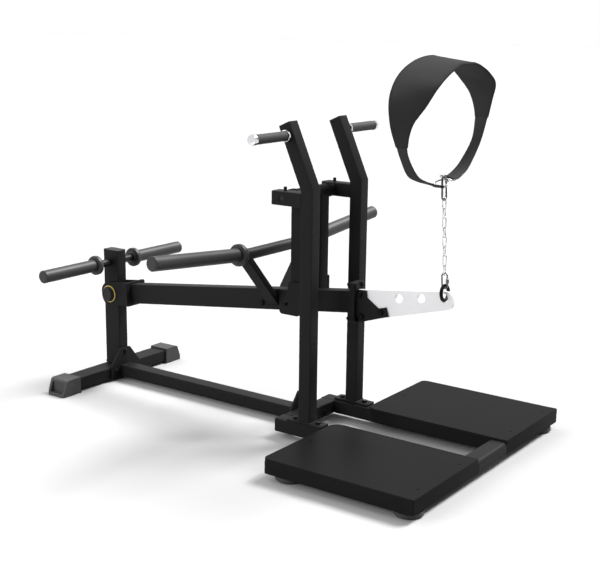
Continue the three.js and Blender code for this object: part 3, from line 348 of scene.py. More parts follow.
# %% Woven finishes
def woven(name, level, along_pitch, across_pitch, depth):
    cloth = Finish(name, Specular_IOR_Level=0.03, Sheen_Weight=0.03, Sheen_Roughness=0.5)
    along = cloth.node("Attribute", {"attribute_name": "along"}, out="Fac")
    across = cloth.node("Attribute", {"attribute_name": "across"}, out="Fac")
    warp, weft = (
        cloth.node("Math", {"operation": "SINE"}, {0: way * (math.tau / (pitch * mm))})
        for way, pitch in ((along, along_pitch), (across, across_pitch))
    )
    threads = warp * weft * 0.5 + 0.5
    fuzz = cloth.noise(0.7, detail=2)
    fade = cloth.noise(70, detail=3)
    base = cloth.blend(fade, grey(level * 0.82), grey(level * 1.2))
    # The threads' crests are coloured paler and the hollows between them darker, as the relief runs: painted
    # shade in the hollows of the weave.
    cloth.feed("Base Color", cloth.blend(threads * 0.45 + fuzz * 0.3, base, grey(level * 1.7)))
    cloth.feed("Roughness", 0.74 + fuzz * 0.16)
    cloth.relief(threads + fuzz * 0.6, depth)
    return cloth


pad_cloth = woven("belt_fabric", 0.0155, 2.2, 2.2, 0.12)
webbing = woven("strap_webbing", 0.019, 3.0, 1.6, 0.22)
binding_tape = woven("binding_tape", 0.014, 1.2, 3.2, 0.12)
thread = woven("thread", 0.035, 0.8, 0.8, 0.05)
print("cloths:", [cloth.material.name for cloth in (pad_cloth, webbing, binding_tape, thread)])

# %% [markdown]
# ## Finishes on the solids
# Each solid already has a slot that says what it is made of. Its finish goes there. A real tube
# or plate has no knife edges, so three modifiers soften the solids without touching their
# meshes: one node group joins the split corners and shades curved ground evenly, a bevel rounds
# each sharp edge by about a millimetre, and weighted normals keep the flats flat.

# %% A node group that shades evenly
sharp_angle = math.radians(34)
evening = bpy.data.node_groups.new("even_shading", "GeometryNodeTree")
evening.interface.new_socket("Geometry", in_out="INPUT", socket_type="NodeSocketGeometry")
evening.interface.new_socket("Geometry", in_out="OUTPUT", socket_type="NodeSocketGeometry")
steps = [
    evening.nodes.new(kind)
    for kind in (
        "NodeGroupInput", "GeometryNodeMergeByDistance", "GeometryNodeSetShadeSmooth",
        "GeometryNodeSetShadeSmooth", "NodeGroupOutput",
    )
]
for before, after in zip(steps, steps[1:]):
    evening.links.new(before.outputs[0], after.inputs[0])
steps[1].inputs["Distance"].default_value = 0.02 * mm
steps[2].inputs["Shade Smooth"].default_value = True
steps[3].domain = "EDGE"
steps[3].inputs["Shade Smooth"].default_value = False
corner = evening.nodes.new("GeometryNodeInputMeshEdgeAngle")
sharper = evening.nodes.new("FunctionNodeCompare")
sharper.operation = "GREATER_THAN"
sharper.inputs["B"].default_value = sharp_angle
evening.links.new(corner.outputs["Unsigned Angle"], sharper.inputs["A"])
evening.links.new(sharper.outputs["Result"], steps[3].inputs["Selection"])
print("even shading uses", len(evening.nodes), "nodes")


# %% Soften and coat every solid
def soften(thing, width, segments=2, welded=False):
    """Rounds the sharp edges of a piece by width millimetres."""
    if welded:
        thing.modifiers.new("even", "NODES").node_group = evening
    bevel = thing.modifiers.new("edges", "BEVEL")
    bevel.width = width * mm
    bevel.segments = segments
    bevel.limit_method = "ANGLE"
    bevel.angle_limit = sharp_angle
    bevel.miter_outer = "MITER_ARC"
    normals = thing.modifiers.new("flats", "WEIGHTED_NORMAL")
    normals.keep_sharp = True


edge_width = {"frame_black": 1.1, "deck_black": 1.2, "foot_rubber": 2.2, "lever_white": 0.8}
for name, node in nodes.items():
    slot = node.material_slots[0].material.name
    node.material_slots[0].material = Finish.made[slot].material
    soften(node, edge_width.get(slot, 0.6), welded=True)
print("coated", len(nodes), "solids")

# %% [markdown]
# ## Forms from rings
# Almost every small part of this machine is a section carried along a path: a circle along an
# axis makes a sleeve, a circle along a loop makes a chain link, and a flat oval along a curve
# makes a strap. So one small class collects rings of points, skins them, and turns the result
# into a piece that rides on its body. Blender's own cylinder gives only a plain straight rod.


# %% The form class
class Form:
    """Corners and faces on their way to being one mesh, with measures kept at the corners."""

    def __init__(self):
        self.corners = []
        self.faces = []
        self.measures = {}
        self.hexagons = 0

    def skin(self, rings, loop=False, capped=True):
        """Joins each ring to the next, and closes the two ends unless they meet or stay open."""
        first, count = len(self.corners), len(rings[0])
        for ring in rings:
            self.corners.extend(ring)
        for i in range(len(rings) if loop else len(rings) - 1):
            low = first + i * count
            high = first + (i + 1) % len(rings) * count
            for j in range(count):
                k = (j + 1) % count
                self.faces.append((low + j, low + k, high + k, high + j))
        if capped and not loop:
            self.faces.append(tuple(first + j for j in reversed(range(count))))
            self.faces.append(tuple(first + (len(rings) - 1) * count + j for j in range(count)))
        return self

    def sheet(self, outline, holes, up):
        """Fills a flat outline round its holes, facing up or down. Each is a list of points."""
        loops = [outline, *holes]
        first = len(self.corners)
        self.corners.extend(point for ring in loops for point in ring)
        for a, b, c in tessellate_polygon(loops):
            p, q, r = (self.corners[first + i] for i in (a, b, c))
            facing_up = (q - p).cross(r - p).z > 0
            face = (first + a, first + b, first + c)
            self.faces.append(face if facing_up == up else face[::-1])

    def piece(self, name, body, slot, replaces=(), finish=None, edge=0.0, sharp=40):
        mesh = bpy.data.meshes.new(name)
        mesh.from_pydata([tuple(corner) for corner in self.corners], [], self.faces)
        for measure, values in self.measures.items():
            mesh.attributes.new(measure, "FLOAT", "POINT").data.foreach_set("value", values)
        mesh.polygons.foreach_set("use_smooth", [True] * len(mesh.polygons))
        mesh.set_sharp_from_angle(angle=math.radians(sharp))
        mesh.materials.append((finish or Finish.made[slot]).material)
        thing = bpy.data.objects.new(name, mesh)
        bpy.context.collection.objects.link(thing)
        if edge:
            soften(thing, edge)
        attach(thing, body)
        if replaces:
            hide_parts(*replaces)
        return thing


def ring_at(centre, first, second, radius, count, phase=0.0):
    """Points of a circle round centre, in the plane of two directions."""
    return [
        centre + (first * math.cos(angle) + second * math.sin(angle)) * radius
        for angle in (phase + math.tau * i / count for i in range(count))
    ]


def across_to(axis):
    """Two directions square to an axis and to each other."""
    first = axis.orthogonal().normalized()
    return first, axis.cross(first).normalized()


print("forms are ready")

# %% [markdown]
# ## Turned parts
# A turned part is a list of places along an axis, each with a radius, as it would be set out for
# a lathe. Most have 48 corners in each ring, which keeps the outline round in the picture.


# %% Turning
def turn_on(form, centre, axis, profile, count=48):
    """Adds a turned part. The profile lists places along the axis and radii, in millimetres."""
    first, second = across_to(axis)
    return form.skin([
        ring_at(centre + axis * along * mm, first, second, max(radius, 0.05) * mm, count)
        for along, radius in profile
    ])


def hexagon(form, centre, axis, across, low, high, count=36, domed=1.5):
    """Adds a six sided head with the chamfered rim of a real one."""
    first, second = across_to(axis)
    half = across / 2
    rim = half / math.cos(math.radians(30))

    def ring(along, limit):
        points = []
        for i in range(count):
            angle = math.tau * i / count
            reach = min(half / math.cos((angle % math.radians(60)) - math.radians(30)), limit)
            outwards = first * math.cos(angle) + second * math.sin(angle)
            points.append(centre + axis * along * mm + outwards * reach * mm)
        return points

    form.hexagons += 1
    return form.skin([
        ring(low, rim), ring(high - domed, rim), ring(high - domed * 0.35, (rim + half) / 2),
        ring(high, half * 0.93), ring(high - 0.4, half * 0.6),
    ])


def bolt(form, seat, axis, across=18.0, head=8.0):
    """Adds a hexagon head on its own flange, sitting on a face at seat."""
    turn_on(form, seat, axis, [(-0.6, across * 0.66), (1.2, across * 0.66), (2.6, across * 0.56)])
    return hexagon(form, seat, axis, across, 1.8, head)


def nut(form, seat, axis, across=18.0, size=6.0):
    """Adds a nut, and the threaded end of the bolt that comes through it."""
    turn_on(form, seat, axis, [(-0.6, across * 0.66), (1.2, across * 0.66), (2.6, across * 0.56)])
    hexagon(form, seat, axis, across, 1.8, 10.5)
    threads = [(9 + i * 0.6, size - 0.1 - (i % 2) * 0.7) for i in range(9)]
    return turn_on(form, seat, axis, [*threads, (15, size - 1.2)], count=24)


print("turning, bolts and nuts are ready")

# %% [markdown]
# ## Wires
# The chain, the links, the rings and the hook are all round wire bent along a path. Carrying the
# section's two directions from each corner to the next with the least turn keeps the wire from
# twisting. A closed path may come back turned, and the difference is spread along it.


# %% Bending wire
def arc(centre, first, second, radius, low, high, steps):
    """Corners of an arc in the plane of two directions, in millimetres and degrees."""
    return [
        centre + first * radius * math.cos(angle) + second * radius * math.sin(angle)
        for angle in (math.radians(low + (high - low) * i / steps) for i in range(steps + 1))
    ]


def wire_on(form, path, radius, loop=False, count=16, place=floor):
    """Adds round wire along a path in millimetres. The radius may differ from corner to corner."""
    path = [place.at(*point) for point in path]
    size = len(path)
    radii = radius if isinstance(radius, list) else [radius] * size

    def tangent(i):
        before = path[(i - 1) % size] if loop else path[max(i - 1, 0)]
        after = path[(i + 1) % size] if loop else path[min(i + 1, size - 1)]
        return (after - before).normalized()

    firsts = [tangent(0).orthogonal().normalized()]
    for i in range(1, size + (1 if loop else 0)):
        way = tangent(i % size)
        carried = tangent(i - 1).rotation_difference(way) @ firsts[-1]
        firsts.append((carried - way * carried.dot(way)).normalized())
    twist = 0.0
    if loop:
        twist = math.atan2(tangent(0).dot(firsts[-1].cross(firsts[0])), firsts[-1].dot(firsts[0]))
    return form.skin([
        ring_at(path[i], firsts[i], tangent(i).cross(firsts[i]), radii[i] * mm, count, twist * i / size)
        for i in range(size)
    ], loop)


def link_path(across, low, high, half_width, steps=10):
    """The middle line of a link between two heights, in the plane of across and Z."""
    low, high = low + half_width, high - half_width
    return [
        *arc(Vector((0, 0, high)), across, unit_z, half_width, 0, 180, steps),
        *arc(Vector((0, 0, low)), across, unit_z, half_width, 180, 360, steps),
    ]


print("wire is ready")

# %% [markdown]
# ## Plate sleeves
# The four sleeves hold weight plates with a 50 mm bore. Each is a tube with a chamfered mouth and
# a disc set in its end, against a thick collar that stops the plates. The storage bar is straight.
# The loading bar is bent: its sleeves rise by about 5 degrees outwards, which helps to keep the
# plates against the collars while the lever moves. The CAD bar is straight from end to end, so the
# bent one and its struts stand in for it here.

# %% Sleeves, discs and collars
bar_half_width, storage_z = 670, 494
sleeve_radius, collar_width = 25, 18


def sleeve_parts(label, body, seats, collar_inner, reach, collar_radius, bar_radius):
    """Dresses both ends of a bar. Each seat is a point of its axis and the axis's way outwards."""
    outer = collar_inner + collar_width
    collars = Form()
    for side_name, (centre, axis) in seats.items():
        sleeve = turn_on(Form(), centre, axis, [
            (outer + 0.3, sleeve_radius - 1.4), (outer + 0.3, sleeve_radius), (reach - 3.2, sleeve_radius),
            (reach - 1.6, sleeve_radius - 0.8), (reach - 1.6, sleeve_radius - 2.8),
        ])
        covered = f"{label}_sleeve_{side_name}"
        sleeve.piece(f"{covered}_tube", body, "sleeve_steel", [covered], edge=0.3)
        disc = turn_on(Form(), centre, axis, [
            (reach - 12, 21.8), (reach - 2.0, 21.8), (reach - 0.5, 21.0), (reach - 0.1, 19.6),
            (reach, 17), (reach, 1),
        ])
        disc.piece(f"{label}_end_{side_name}_disc", body, "sleeve_steel", [f"{label}_end_cap_{side_name}"])
        turn_on(collars, centre, axis, [
            (collar_inner - 5, bar_radius - 0.4), (collar_inner - 5, bar_radius + 5),
            (collar_inner, bar_radius + 9), (collar_inner, collar_radius - 3.2),
            (collar_inner + 1, collar_radius - 1), (collar_inner + 3.2, collar_radius),
            (outer - 3.2, collar_radius), (outer - 1, collar_radius - 1),
            (outer, collar_radius - 3.2), (outer, sleeve_radius + 1.5),
        ], count=64)
    collars.piece(f"{label}_collars", body, "sleeve_steel", finish=collar_coat)
    return reach - outer


storage_seats = {name: (floor.at(post_x, 0, storage_z), unit_y * side) for name, side in sides.items()}
rear_room = sleeve_parts("storage", "frame", storage_seats, 100, 391, 39, 15)
storage_bar = turn_on(Form(), floor.at(post_x, 0, storage_z), unit_y, [(-104, 15), (104, 15)])
storage_bar.piece("storage_bar_tube", "frame", "sleeve_steel", ["storage_bar"], finish=bar_coat)

load_along, load_above, load_bend, load_rise = 863, 191.5, 170, 46
load_span = bar_half_width - load_bend
load_reach = math.hypot(load_span, load_rise) - 2.3
load_seats = {
    name: (
        lever.at(load_along, side * load_bend, load_above),
        lever.way(0, side * load_span, load_rise).normalized(),
    )
    for name, side in sides.items()
}
load_room = sleeve_parts("load", "lever", load_seats, 44, load_reach, 40, 21)
print("room for plates on each sleeve, mm:", round(rear_room), round(load_room))

# %% [markdown]
# ## Loading bar and its struts
# The bar's middle is one round tube with a soft bend near each collar. Two flat struts of 50 by
# 25 mm tube carry it from the sides of the lever. Their feet are cut to the lever's flat sides, so
# each corner of the section is carried along the strut until it meets that side.


# %% Bent bar and struts
def rounded(width, height, corner, steps=4):
    """The corners of a rounded rectangle, in millimetres."""
    points = []
    for x_sign, y_sign, low in ((1, 1, 0), (-1, 1, 90), (-1, -1, 180), (1, -1, 270)):
        for i in range(steps + 1):
            angle = math.radians(low + 90 * i / steps)
            points.append((
                x_sign * (width / 2 - corner) + corner * math.cos(angle),
                y_sign * (height / 2 - corner) + corner * math.sin(angle),
            ))
    return points


bend_share = load_rise / load_span
bar_end = 216
bar_lifts = [(148, 0), (162, 0.3), (176, 0.9), (188, 1.7), (bar_end, (bar_end - load_bend) * bend_share)]
bar_path = [
    *((load_along, -y, load_above + lift) for y, lift in reversed(bar_lifts)),
    (load_along, 0, load_above),
    *((load_along, y, load_above + lift) for y, lift in bar_lifts),
]
load_bar = wire_on(Form(), bar_path, 21, False, 48, lever)
load_bar.piece("load_bar_tube", "lever", "sleeve_steel", ["load_bar"], finish=bar_coat)

strut_foot, strut_top = (844, 25.3, -5), (load_along, 202, load_above + 2)
for side_name, side in sides.items():
    foot, top = (Vector((x, side * y, z)) for x, y, z in (strut_foot, strut_top))
    along = (top - foot).normalized()
    wide = (unit_x - along * along.x).normalized()
    thick = along.cross(wide)
    section = [wide * x + thick * y for x, y in rounded(50, 25, 4)]
    low = [foot + offset - along * (offset.y / along.y) for offset in section]
    high = [top + offset for offset in section]
    strut = Form().skin([[lever.at(*point) for point in ring] for ring in (low, high)])
    covered = f"load_strut_{side_name}"
    strut.piece(f"{covered}_tube", "lever", "frame_black", [covered], edge=0.5)
print("loading bar's sleeves rise", round(math.degrees(math.atan(bend_share)), 1), "degrees")

# %% [markdown]
# ## Handles
# Each handle is a chromed bar welded through the upright, with a rubber grip between a chromed
# ring and a chromed knob. Both are shorter than on the CAD bar and the grip is longer, as in the
# photograph. The knob's face is slightly domed, so that it catches the light in one soft spot.

# %% Bars and grips
handle_radius, grip_radius = 13, 16.9
ring_start, ring_end, knob_start = 187.6, 195.8, 361.6
grip_start, grip_body, grip_step, grip_steps = 196.2, 201.4, 7.5, 20
for side_name, side in sides.items():
    centre, axis = floor.at(handle_x, 0, handle_z), unit_y * side
    bar = turn_on(Form(), centre, axis, [
        (167, handle_radius), (ring_start, handle_radius), (ring_start, 19.4), (ring_start + 1, 20.4),
        (ring_end - 1, 20.4), (ring_end, 19.4), (ring_end, handle_radius), (knob_start, handle_radius),
        (knob_start, 17.6), (knob_start + 1, 18.6), (374.6, 18.6), (377.8, 17.4), (379.2, 14.5),
        (379.7, 9), (379.8, 1),
    ])
    bar.piece(f"handle_{side_name}_bar", "frame", "chrome", [f"handle_bar_{side_name}"])
    grip = turn_on(Form(), centre, axis, [
        (grip_start, 14), (grip_start, 16.2), (grip_start + 1, 17.2), (199, 17.6), (200.6, 17.2),
        *[(grip_body + i * grip_step, grip_radius) for i in range(grip_steps + 1)],
        (356.8, grip_radius), (357.6, 17.2), (359.2, 17.6), (360.6, 17.0), (361.2, 16), (361.2, 14),
    ], count=64)
    grip.piece(f"handle_{side_name}_grip", "frame", "grip_rubber", [f"handle_grip_{side_name}"])
print("handles stand", handle_z, "mm above the floor")

# %% [markdown]
# ## Pivots and pins
# The lever turns on a shaft through the rear post, capped on both sides by a domed black cap over
# a yellow bearing washer. The support swings on an axle between the uprights, in a barrel with a
# flanged bush at each end, and black screws from above stop that axle from turning. A steel pin
# across the lever rests in the support's two hooks.

# %% Lever pivot
shaft = turn_on(Form(), lever.at(0, 0, 0), unit_y, [(-44, 12), (44, 12)])
shaft.piece("pivot_shaft_rod", "lever", "zinc", ["pivot_shaft"])
caps, washers = Form(), Form()
for side in (near, far):
    turn_on(caps, lever.at(0, 0, 0), unit_y * side, [
        (39.7, 31.4), (40.3, 32), (42.6, 32), (43.4, 31), (43.6, 28.6), (44.4, 27.4), (50, 27.4),
        (52.2, 26.2),
        (53.4, 23.6), (53.8, 20), (53.8, 17.2), (52.6, 16.6), (52.4, 8), (52.4, 1),
    ], count=64)
    turn_on(washers, lever.at(0, 0, 0), unit_y * side, [
        (35.6, 13), (35.6, 34), (36.2, 34.6), (39, 34.6), (39.6, 34), (39.6, 27),
    ], count=64)
caps.piece("pivot_caps", "lever", "plug_plastic")
washers.piece("pivot_washers", "lever", "washer_yellow", ["pivot_washer_near", "pivot_washer_far"])

# %% Support axle, barrel and rest pin
axle_x, axle_z = 132.0, 873.0
axle = turn_on(Form(), floor.at(axle_x, 0, axle_z), unit_y, [
    (-175, 8.8), (-174, 9.9), (174, 9.9), (175, 8.8),
])
# The axle takes the black plastic finish, not zinc, so that its ends, set back in the uprights, read dark:
# painted shade in the holes.
axle.piece("support_axle_rod", "frame", "zinc", ["support_axle"], finish=plug_plastic)
screws = Form()
for side in (near, far):
    seat = floor.at(axle_x, side * 152.5, 898.3)
    turn_on(screws, seat, unit_z, [
        (-14, 4), (0.3, 4), (0.3, 6), (12.4, 6), (13.4, 5.2), (13.4, 3.2), (8.5, 3), (8.5, 0.3),
    ], count=32)
screws.piece("axle_set_screws", "frame", "zinc", finish=bolt_black)
barrel = turn_on(Form(), floor.at(axle_x, 0, axle_z), unit_y, [
    (-122.6, 21.6), (-122.6, 23.4), (-121.8, 24), (121.8, 24), (122.6, 23.4), (122.6, 21.6),
])
for middle in (-116, -101, 101, 116):
    turn_on(barrel, floor.at(axle_x, middle, axle_z), unit_y, [
        (-3.6, 23.8), (-3.6, 26), (-2.8, 26.8), (2.8, 26.8), (3.6, 26), (3.6, 23.8),
    ])
barrel.piece("support_barrel_tube", "support", "frame_black", ["support_barrel"], finish=barrel_coat)
for side_name, side in sides.items():
    bush = turn_on(Form(), floor.at(axle_x, 0, axle_z), unit_y * side, [
        (92.9, 10.4), (92.9, 15), (123.1, 15), (123.1, 21.2), (123.9, 22), (126.2, 22), (127, 21.2),
        (127, 10.4),
    ])
    bush.piece(f"barrel_bush_{side_name}_ring", "support", "plug_plastic", [f"barrel_bush_{side_name}"])
pin = turn_on(Form(), lever.at(949, 0, 0), unit_y, [(-99.8, 6.6), (-98.4, 7.9), (98.4, 7.9), (99.8, 6.6)])
pin.piece("rest_pin_rod", "lever", "zinc", ["rest_pin"], finish=bolt_black)
print("pins and pivots are dressed")

# %% [markdown]
# ## Bolts and screws
# The CAD model has the holes, and the fasteners are drawn here. Bolts with flanged hexagon heads,
# 16 to 18 mm across, hold the base rail, the uprights' feet, the nose bracket and the lever's
# plate. Countersunk screws hold the decks. All are black, so they read by their highlights.

# %% Bolts on the frame
deck_top, upright_y = 78.3, 152.5
low_bolt_y, low_bolt_z, high_bolt_z = 55, 39, 116
rear_plate_x, front_nut_x = -1065.7, -160.3  # faces of the base rail's two end plates

frame_bolts = Form()
for side in (near, far):
    bolt(frame_bolts, front.at(-92, side * low_bolt_y, low_bolt_z), unit_x)
    nut(frame_bolts, front.at(front_nut_x, side * low_bolt_y, low_bolt_z), -unit_x)
    bolt(frame_bolts, front.at(rear_plate_x, side * low_bolt_y, low_bolt_z), unit_x, across=17)
    for x in (-75, 25):
        bolt(frame_bolts, front.at(x, side * upright_y, deck_top), unit_z)
bolt(frame_bolts, front.at(rear_plate_x, 0, high_bolt_z), unit_x, across=17)
bolt(frame_bolts, front.at(-152, 0, high_bolt_z), unit_x, across=17)
nut(frame_bolts, front.at(front_nut_x, 0, high_bolt_z), -unit_x, across=17)
frame_bolts.piece("frame_bolts", "frame", "zinc", finish=bolt_black, edge=0.25)

screw_places = [(604, 191), (604, 452), (97, 306.5)]
deck_screws = Form()
for side in (near, far):
    for x, y in screw_places:
        turn_on(deck_screws, front.at(x, side * y, deck_top), unit_z, [
            (-12, 3.2), (-3.1, 3.4), (-3.0, 6.6), (-1.9, 6.9), (-1.1, 6.2), (-0.9, 4.6),
            (-0.9, 2.5), (-2.5, 2.3), (-2.5, 0.2),
        ], count=30)
deck_screws.piece("deck_screws", "frame", "zinc", finish=bolt_black)
print("heads and nuts on the frame:", frame_bolts.hexagons)
print("deck screws:", len(sides) * len(screw_places))

# %% Bolts on the lever
flange_z, flange_bolt_y, flange_bolt_rise = 505.8, 21, 61.5
lever_bolts = Form()
for side in (near, far):
    for z in (flange_z - flange_bolt_rise, flange_z + flange_bolt_rise):
        bolt(lever_bolts, front.at(82.3, side * flange_bolt_y, z), unit_x, across=16, head=7)
        nut(lever_bolts, front.at(62, side * flange_bolt_y, z), -unit_x, across=16, size=5)
    for x, z in ((95.7, 535.7), (104.9, 457.8), (183.5, 484.8)):
        seat = front.at(x, side * 14.3, z)
        (bolt if side == near else nut)(lever_bolts, seat, unit_y * side)
    bolt(lever_bolts, lever.at(791, side * 25, -14), unit_y * side)
lever_bolts.piece("lever_bolts", "lever", "zinc", finish=bolt_black, edge=0.25)
print("heads and nuts on the lever:", lever_bolts.hexagons)

# %% [markdown]
# ## Deck trays
# Each deck is a tray of 3 mm sheet with a narrow fold along its edges, open below, over the tubes.
# The CAD deck has one broad bend at the front, so a tray stands in for it here. Its plan has a
# wide corner beside the upright and small ones elsewhere. The rings go from the ceiling down the
# inside of the lip and up its outside. At the rear the lip stops short over the side beam.


# %% Decks
deck_rear, deck_front, deck_inner, deck_outer = 60, 632, 105, 528
sheet, fold, ceiling, lip_foot, beam_top, beam_end = 3, 2.5, deck_top - 3, 26, 70.8, 183
screw_hole = 7.3
deck_corners = [  # the middle, radius and first angle of each
    ((deck_front - 4, deck_inner + 4), 4, -90), ((deck_front - 4, deck_outer - 4), 4, 0),
    ((deck_rear + 22, deck_outer - 22), 22, 90), ((deck_rear + 40, deck_inner + 40), 40, 180),
]


def deck_ring(side, inset, level=None, lift=0.0):
    """The deck's outline, set in by a number of millimetres, at a level or at the lip's foot."""
    points = []
    for (x, y), radius, low in deck_corners:
        steps = 10 if radius > 9 else 6
        if low == 180:
            points.extend([(deck_rear + inset, beam_end, False), (deck_rear + inset, beam_end - 0.4, True)])
        for i in range(steps + 1):
            angle = math.radians(low + 90 * i / steps)
            over_beam = low == 180 and i <= 6
            reach = radius - inset
            points.append((x + reach * math.cos(angle), y + reach * math.sin(angle), over_beam))
    ring = [
        front.at(x, side * y, level if level is not None else (beam_top if over_beam else lip_foot) + lift)
        for x, y, over_beam in points
    ]
    return ring if side > 0 else ring[::-1]


for side_name, side in sides.items():
    tray = Form()
    rings = [
        deck_ring(side, sheet, ceiling), deck_ring(side, sheet, lift=0.6), deck_ring(side, sheet - 0.6),
        deck_ring(side, 0.6), deck_ring(side, 0, lift=0.6), deck_ring(side, 0, deck_top - fold),
        deck_ring(side, 0.35, deck_top - 1.2), deck_ring(side, 1.2, deck_top - 0.3),
        deck_ring(side, fold, deck_top),
    ]
    tray.skin(rings, capped=False)
    tops, ceilings = [], []
    for x, y in screw_places:
        low, high = (
            ring_at(front.at(x, side * y, level), unit_x, unit_y, screw_hole * mm, 24)
            for level in (ceiling, deck_top)
        )
        tray.skin([high, low], capped=False)
        tops.append(high)
        ceilings.append(low)
    tray.sheet(rings[-1], tops, True)
    tray.sheet(rings[0], ceilings, False)
    tray.piece(
        f"deck_{side_name}_tray", "frame", "frame_black", [f"deck_plate_{side_name}"],
        finish=deck_coat, sharp=14,
    )
print("decks are", deck_front - deck_rear, "by", deck_outer - deck_inner, "mm")

# %% [markdown]
# ## Weld beads
# Where one tube stands on another, a bead of weld runs round its foot, and where a bar leaves a
# tube's side, one runs round the bar. Each bead is a wire whose radius swells and shrinks by half a
# millimetre, which gives the small even ripples that a welder leaves, and the powder coat covers
# it like the rest of the frame.


# %% Beads round the joints
def bead(form, corners):
    """Adds a rippled bead along a closed outline in the front frame."""
    path = []
    for start, goal in zip(corners, corners[1:] + corners[:1]):
        count = max(1, round((goal - start).length / 3))
        path.extend(start.lerp(goal, i / count) for i in range(count))
    return wire_on(form, path, [2.3 + i % 2 * 0.5 for i in range(len(path))], True, 10, front)


def tube_foot(x, y, z, length, width):
    """The outline of a square tube's foot, in the front frame."""
    return [Vector((x + along, y + across, z)) for along, across in rounded(length, width, 4)]


def bar_root(x, y, z, radius):
    """The outline of a round bar where it leaves a tube's side, in the front frame."""
    return arc(Vector((x, y, z)), unit_x, unit_z, radius, 0, 350, 35)


local_post_x = post_x - uprights_front
joints = []
for side in (near, far):
    joints.append(tube_foot(-25, side * upright_y, deck_top + 0.5, 51, 51))
    joints.append(bar_root(handle_x - uprights_front, side * 178, handle_z, handle_radius + 0.6))
    joints.append(bar_root(local_post_x, side * 25.6, storage_z, 15.8))
joints.append(tube_foot(local_post_x, 0, 66.6, 81, 51))

welds = Form()
for corners in joints:
    bead(welds, corners)
welds.piece("frame_welds", "frame", "frame_black")

# %% [markdown]
# ## Ring, chain and snap hook
# These hang between the lever and the belt. A forged ring passes through the lever's tow hole, a
# quick link with a screwed nut joins it to eight welded links, and a long snap hook takes the
# belt's two D rings. The hook's gate is a darker wire on a small hinge at its foot.

# %% Ring, quick link and chain
tow_ring = wire_on(Form(), arc(Vector((0, 0, 18)), unit_y, unit_z, 25, 0, 355, 71), 6, True, 24, tether)
tow_ring.piece("tow_ring_wire", "tether", "chrome", ["tow_ring"], finish=bolt_black)

quick = Form()
wire_on(quick, link_path(unit_x, 33.35, 84.85, 10.25), 2.75, True, 16, tether)
hexagon(quick, tether.at(10.25, 0, 0), tether.way(0, 0, 1), 10, 51, 66, domed=1.2)
turn_on(quick, tether.at(10.25, 0, 0), tether.way(0, 0, 1), [
    (66 + i * 0.4, 3.2 - (i % 2) * 0.35) for i in range(16)
], count=20)
quick.piece("quick_link_wire", "tether", "chrome", ["quick_link"], finish=link_steel, sharp=32)

chain = Form()
for i in range(8):
    across, low = (unit_y, unit_x)[i % 2], 81.2 + 31.9 * i
    wire_on(chain, link_path(across, low - 2.5, low + 34.1, 6.25, 8), 2.3, True, 14, tether)
    weld_at = across * 6.25 + unit_z * (low + 13)
    swell = [weld_at + unit_z * step for step in (0, 1.2, 2.4, 3.6, 4.8)]
    wire_on(chain, swell, [2.1, 2.6, 2.75, 2.6, 2.1], False, 14, tether)
chain.piece("chain_links", "tether", "chrome", ["chain"])
print("chain corners:", len(chain.corners))

# %% Snap hook and its gate
hook = Form()
hook_head, hook_foot = Vector((0, 0, 399.7)), Vector((0, 0, 345.7))
hook_path = [
    Vector((0, 13.0, 383.3)), Vector((0, 12.8, 391)), *arc(hook_head, unit_y, unit_z, 12.5, 0, 180, 18),
    *arc(hook_foot, unit_y, unit_z, 14, 180, 360, 18), Vector((0, 14, 348.7)),
]
wire_on(hook, hook_path, [3.3] + [3.5] * (len(hook_path) - 1), False, 20, tether)
hook.piece("snap_hook_wire", "tether", "chrome", ["snap_hook"], finish=link_steel)
gate = Form()
gate_path = [(0, 14, 349.5), (0, 13.9, 352), (0, 13.1, 379), (0, 12.98, 382.4)]
wire_on(gate, gate_path, [2.6, 2.6, 2.6, 1.9], False, 16, tether)
turn_on(gate, tether.at(0, 13.9, 352.6), unit_x, [(-3.4, 1.3), (-3.1, 1.8), (3.1, 1.8), (3.4, 1.3)], count=16)
gate.piece("snap_gate_wire", "gate", "zinc", ["snap_gate"], finish=bolt_black)
print("hook reaches", round(tether.at(0, 0, 415.7).z, 3), "m")

# %% [markdown]
# ## Curves for the belt
# The belt hangs in a loop like a wide letter U laid open. Its two edges pass through points at
# known angles round the loop, and a centripetal Catmull-Rom curve runs evenly through them. The
# same points and the same curve shape the CAD belt's pad, so the pad here covers it.

# %% The belt's edge curves
belt_radius, pad_width, loop_rise = 283, 155, 191
pad_angles = [66, 75, 90, 105, 120, 135, 150, 165, 180]
rear_radii = [0.89, 0.93, 1, 0.99, 0.894, 0.813, 0.756, 0.728, 0.724]
front_radii = [0.905, 0.926, 0.898, 0.813, 0.802, 0.735, 0.689, 0.668, 0.65]
rear_offsets = [-0.242, -0.234, -0.277, -0.374, -0.471, -0.503, -0.503, -0.484, -0.452]
front_offsets = [0.026, 0.045, 0.142, 0.323, 0.471, 0.497, 0.497, 0.49, 0.49]


def loop_point(degrees, radius, x):
    angle = math.radians(degrees)
    return Vector((x, radius * math.sin(angle), loop_rise - radius * math.cos(angle)))


def mirrored(point):
    return Vector((point.x, -point.y, point.z))


class Curve:
    """A centripetal Catmull-Rom curve through points. Its step counts from point to point."""

    def __init__(self, points):
        ahead, behind = points[0] * 2 - points[1], points[-1] * 2 - points[-2]
        self.points = [ahead, *points, behind]
        self.last = len(points) - 1

    def at(self, step):
        i = min(max(int(step), 0), self.last - 1)
        share = step - i
        a, b, c, d = self.points[i : i + 4]
        before, within, after = (math.sqrt((q - p).length) for p, q in ((a, b), (b, c), (c, d)))
        leave = ((b - a) / before - (c - a) / (before + within) + (c - b) / within) * within
        reach = ((c - b) / within - (d - b) / (within + after) + (d - c) / after) * within
        bend, ease = (c - b) * 3 - leave * 2 - reach, (b - c) * 2 + leave + reach
        return b + leave * share + bend * share**2 + ease * share**3


def loop_edge(radii, offsets):
    half = [
        loop_point(degrees, radius * belt_radius, offset * pad_width)
        for degrees, radius, offset in zip(pad_angles, radii, offsets)
    ]
    return Curve([*half, *(mirrored(point) for point in reversed(half[:-1]))])


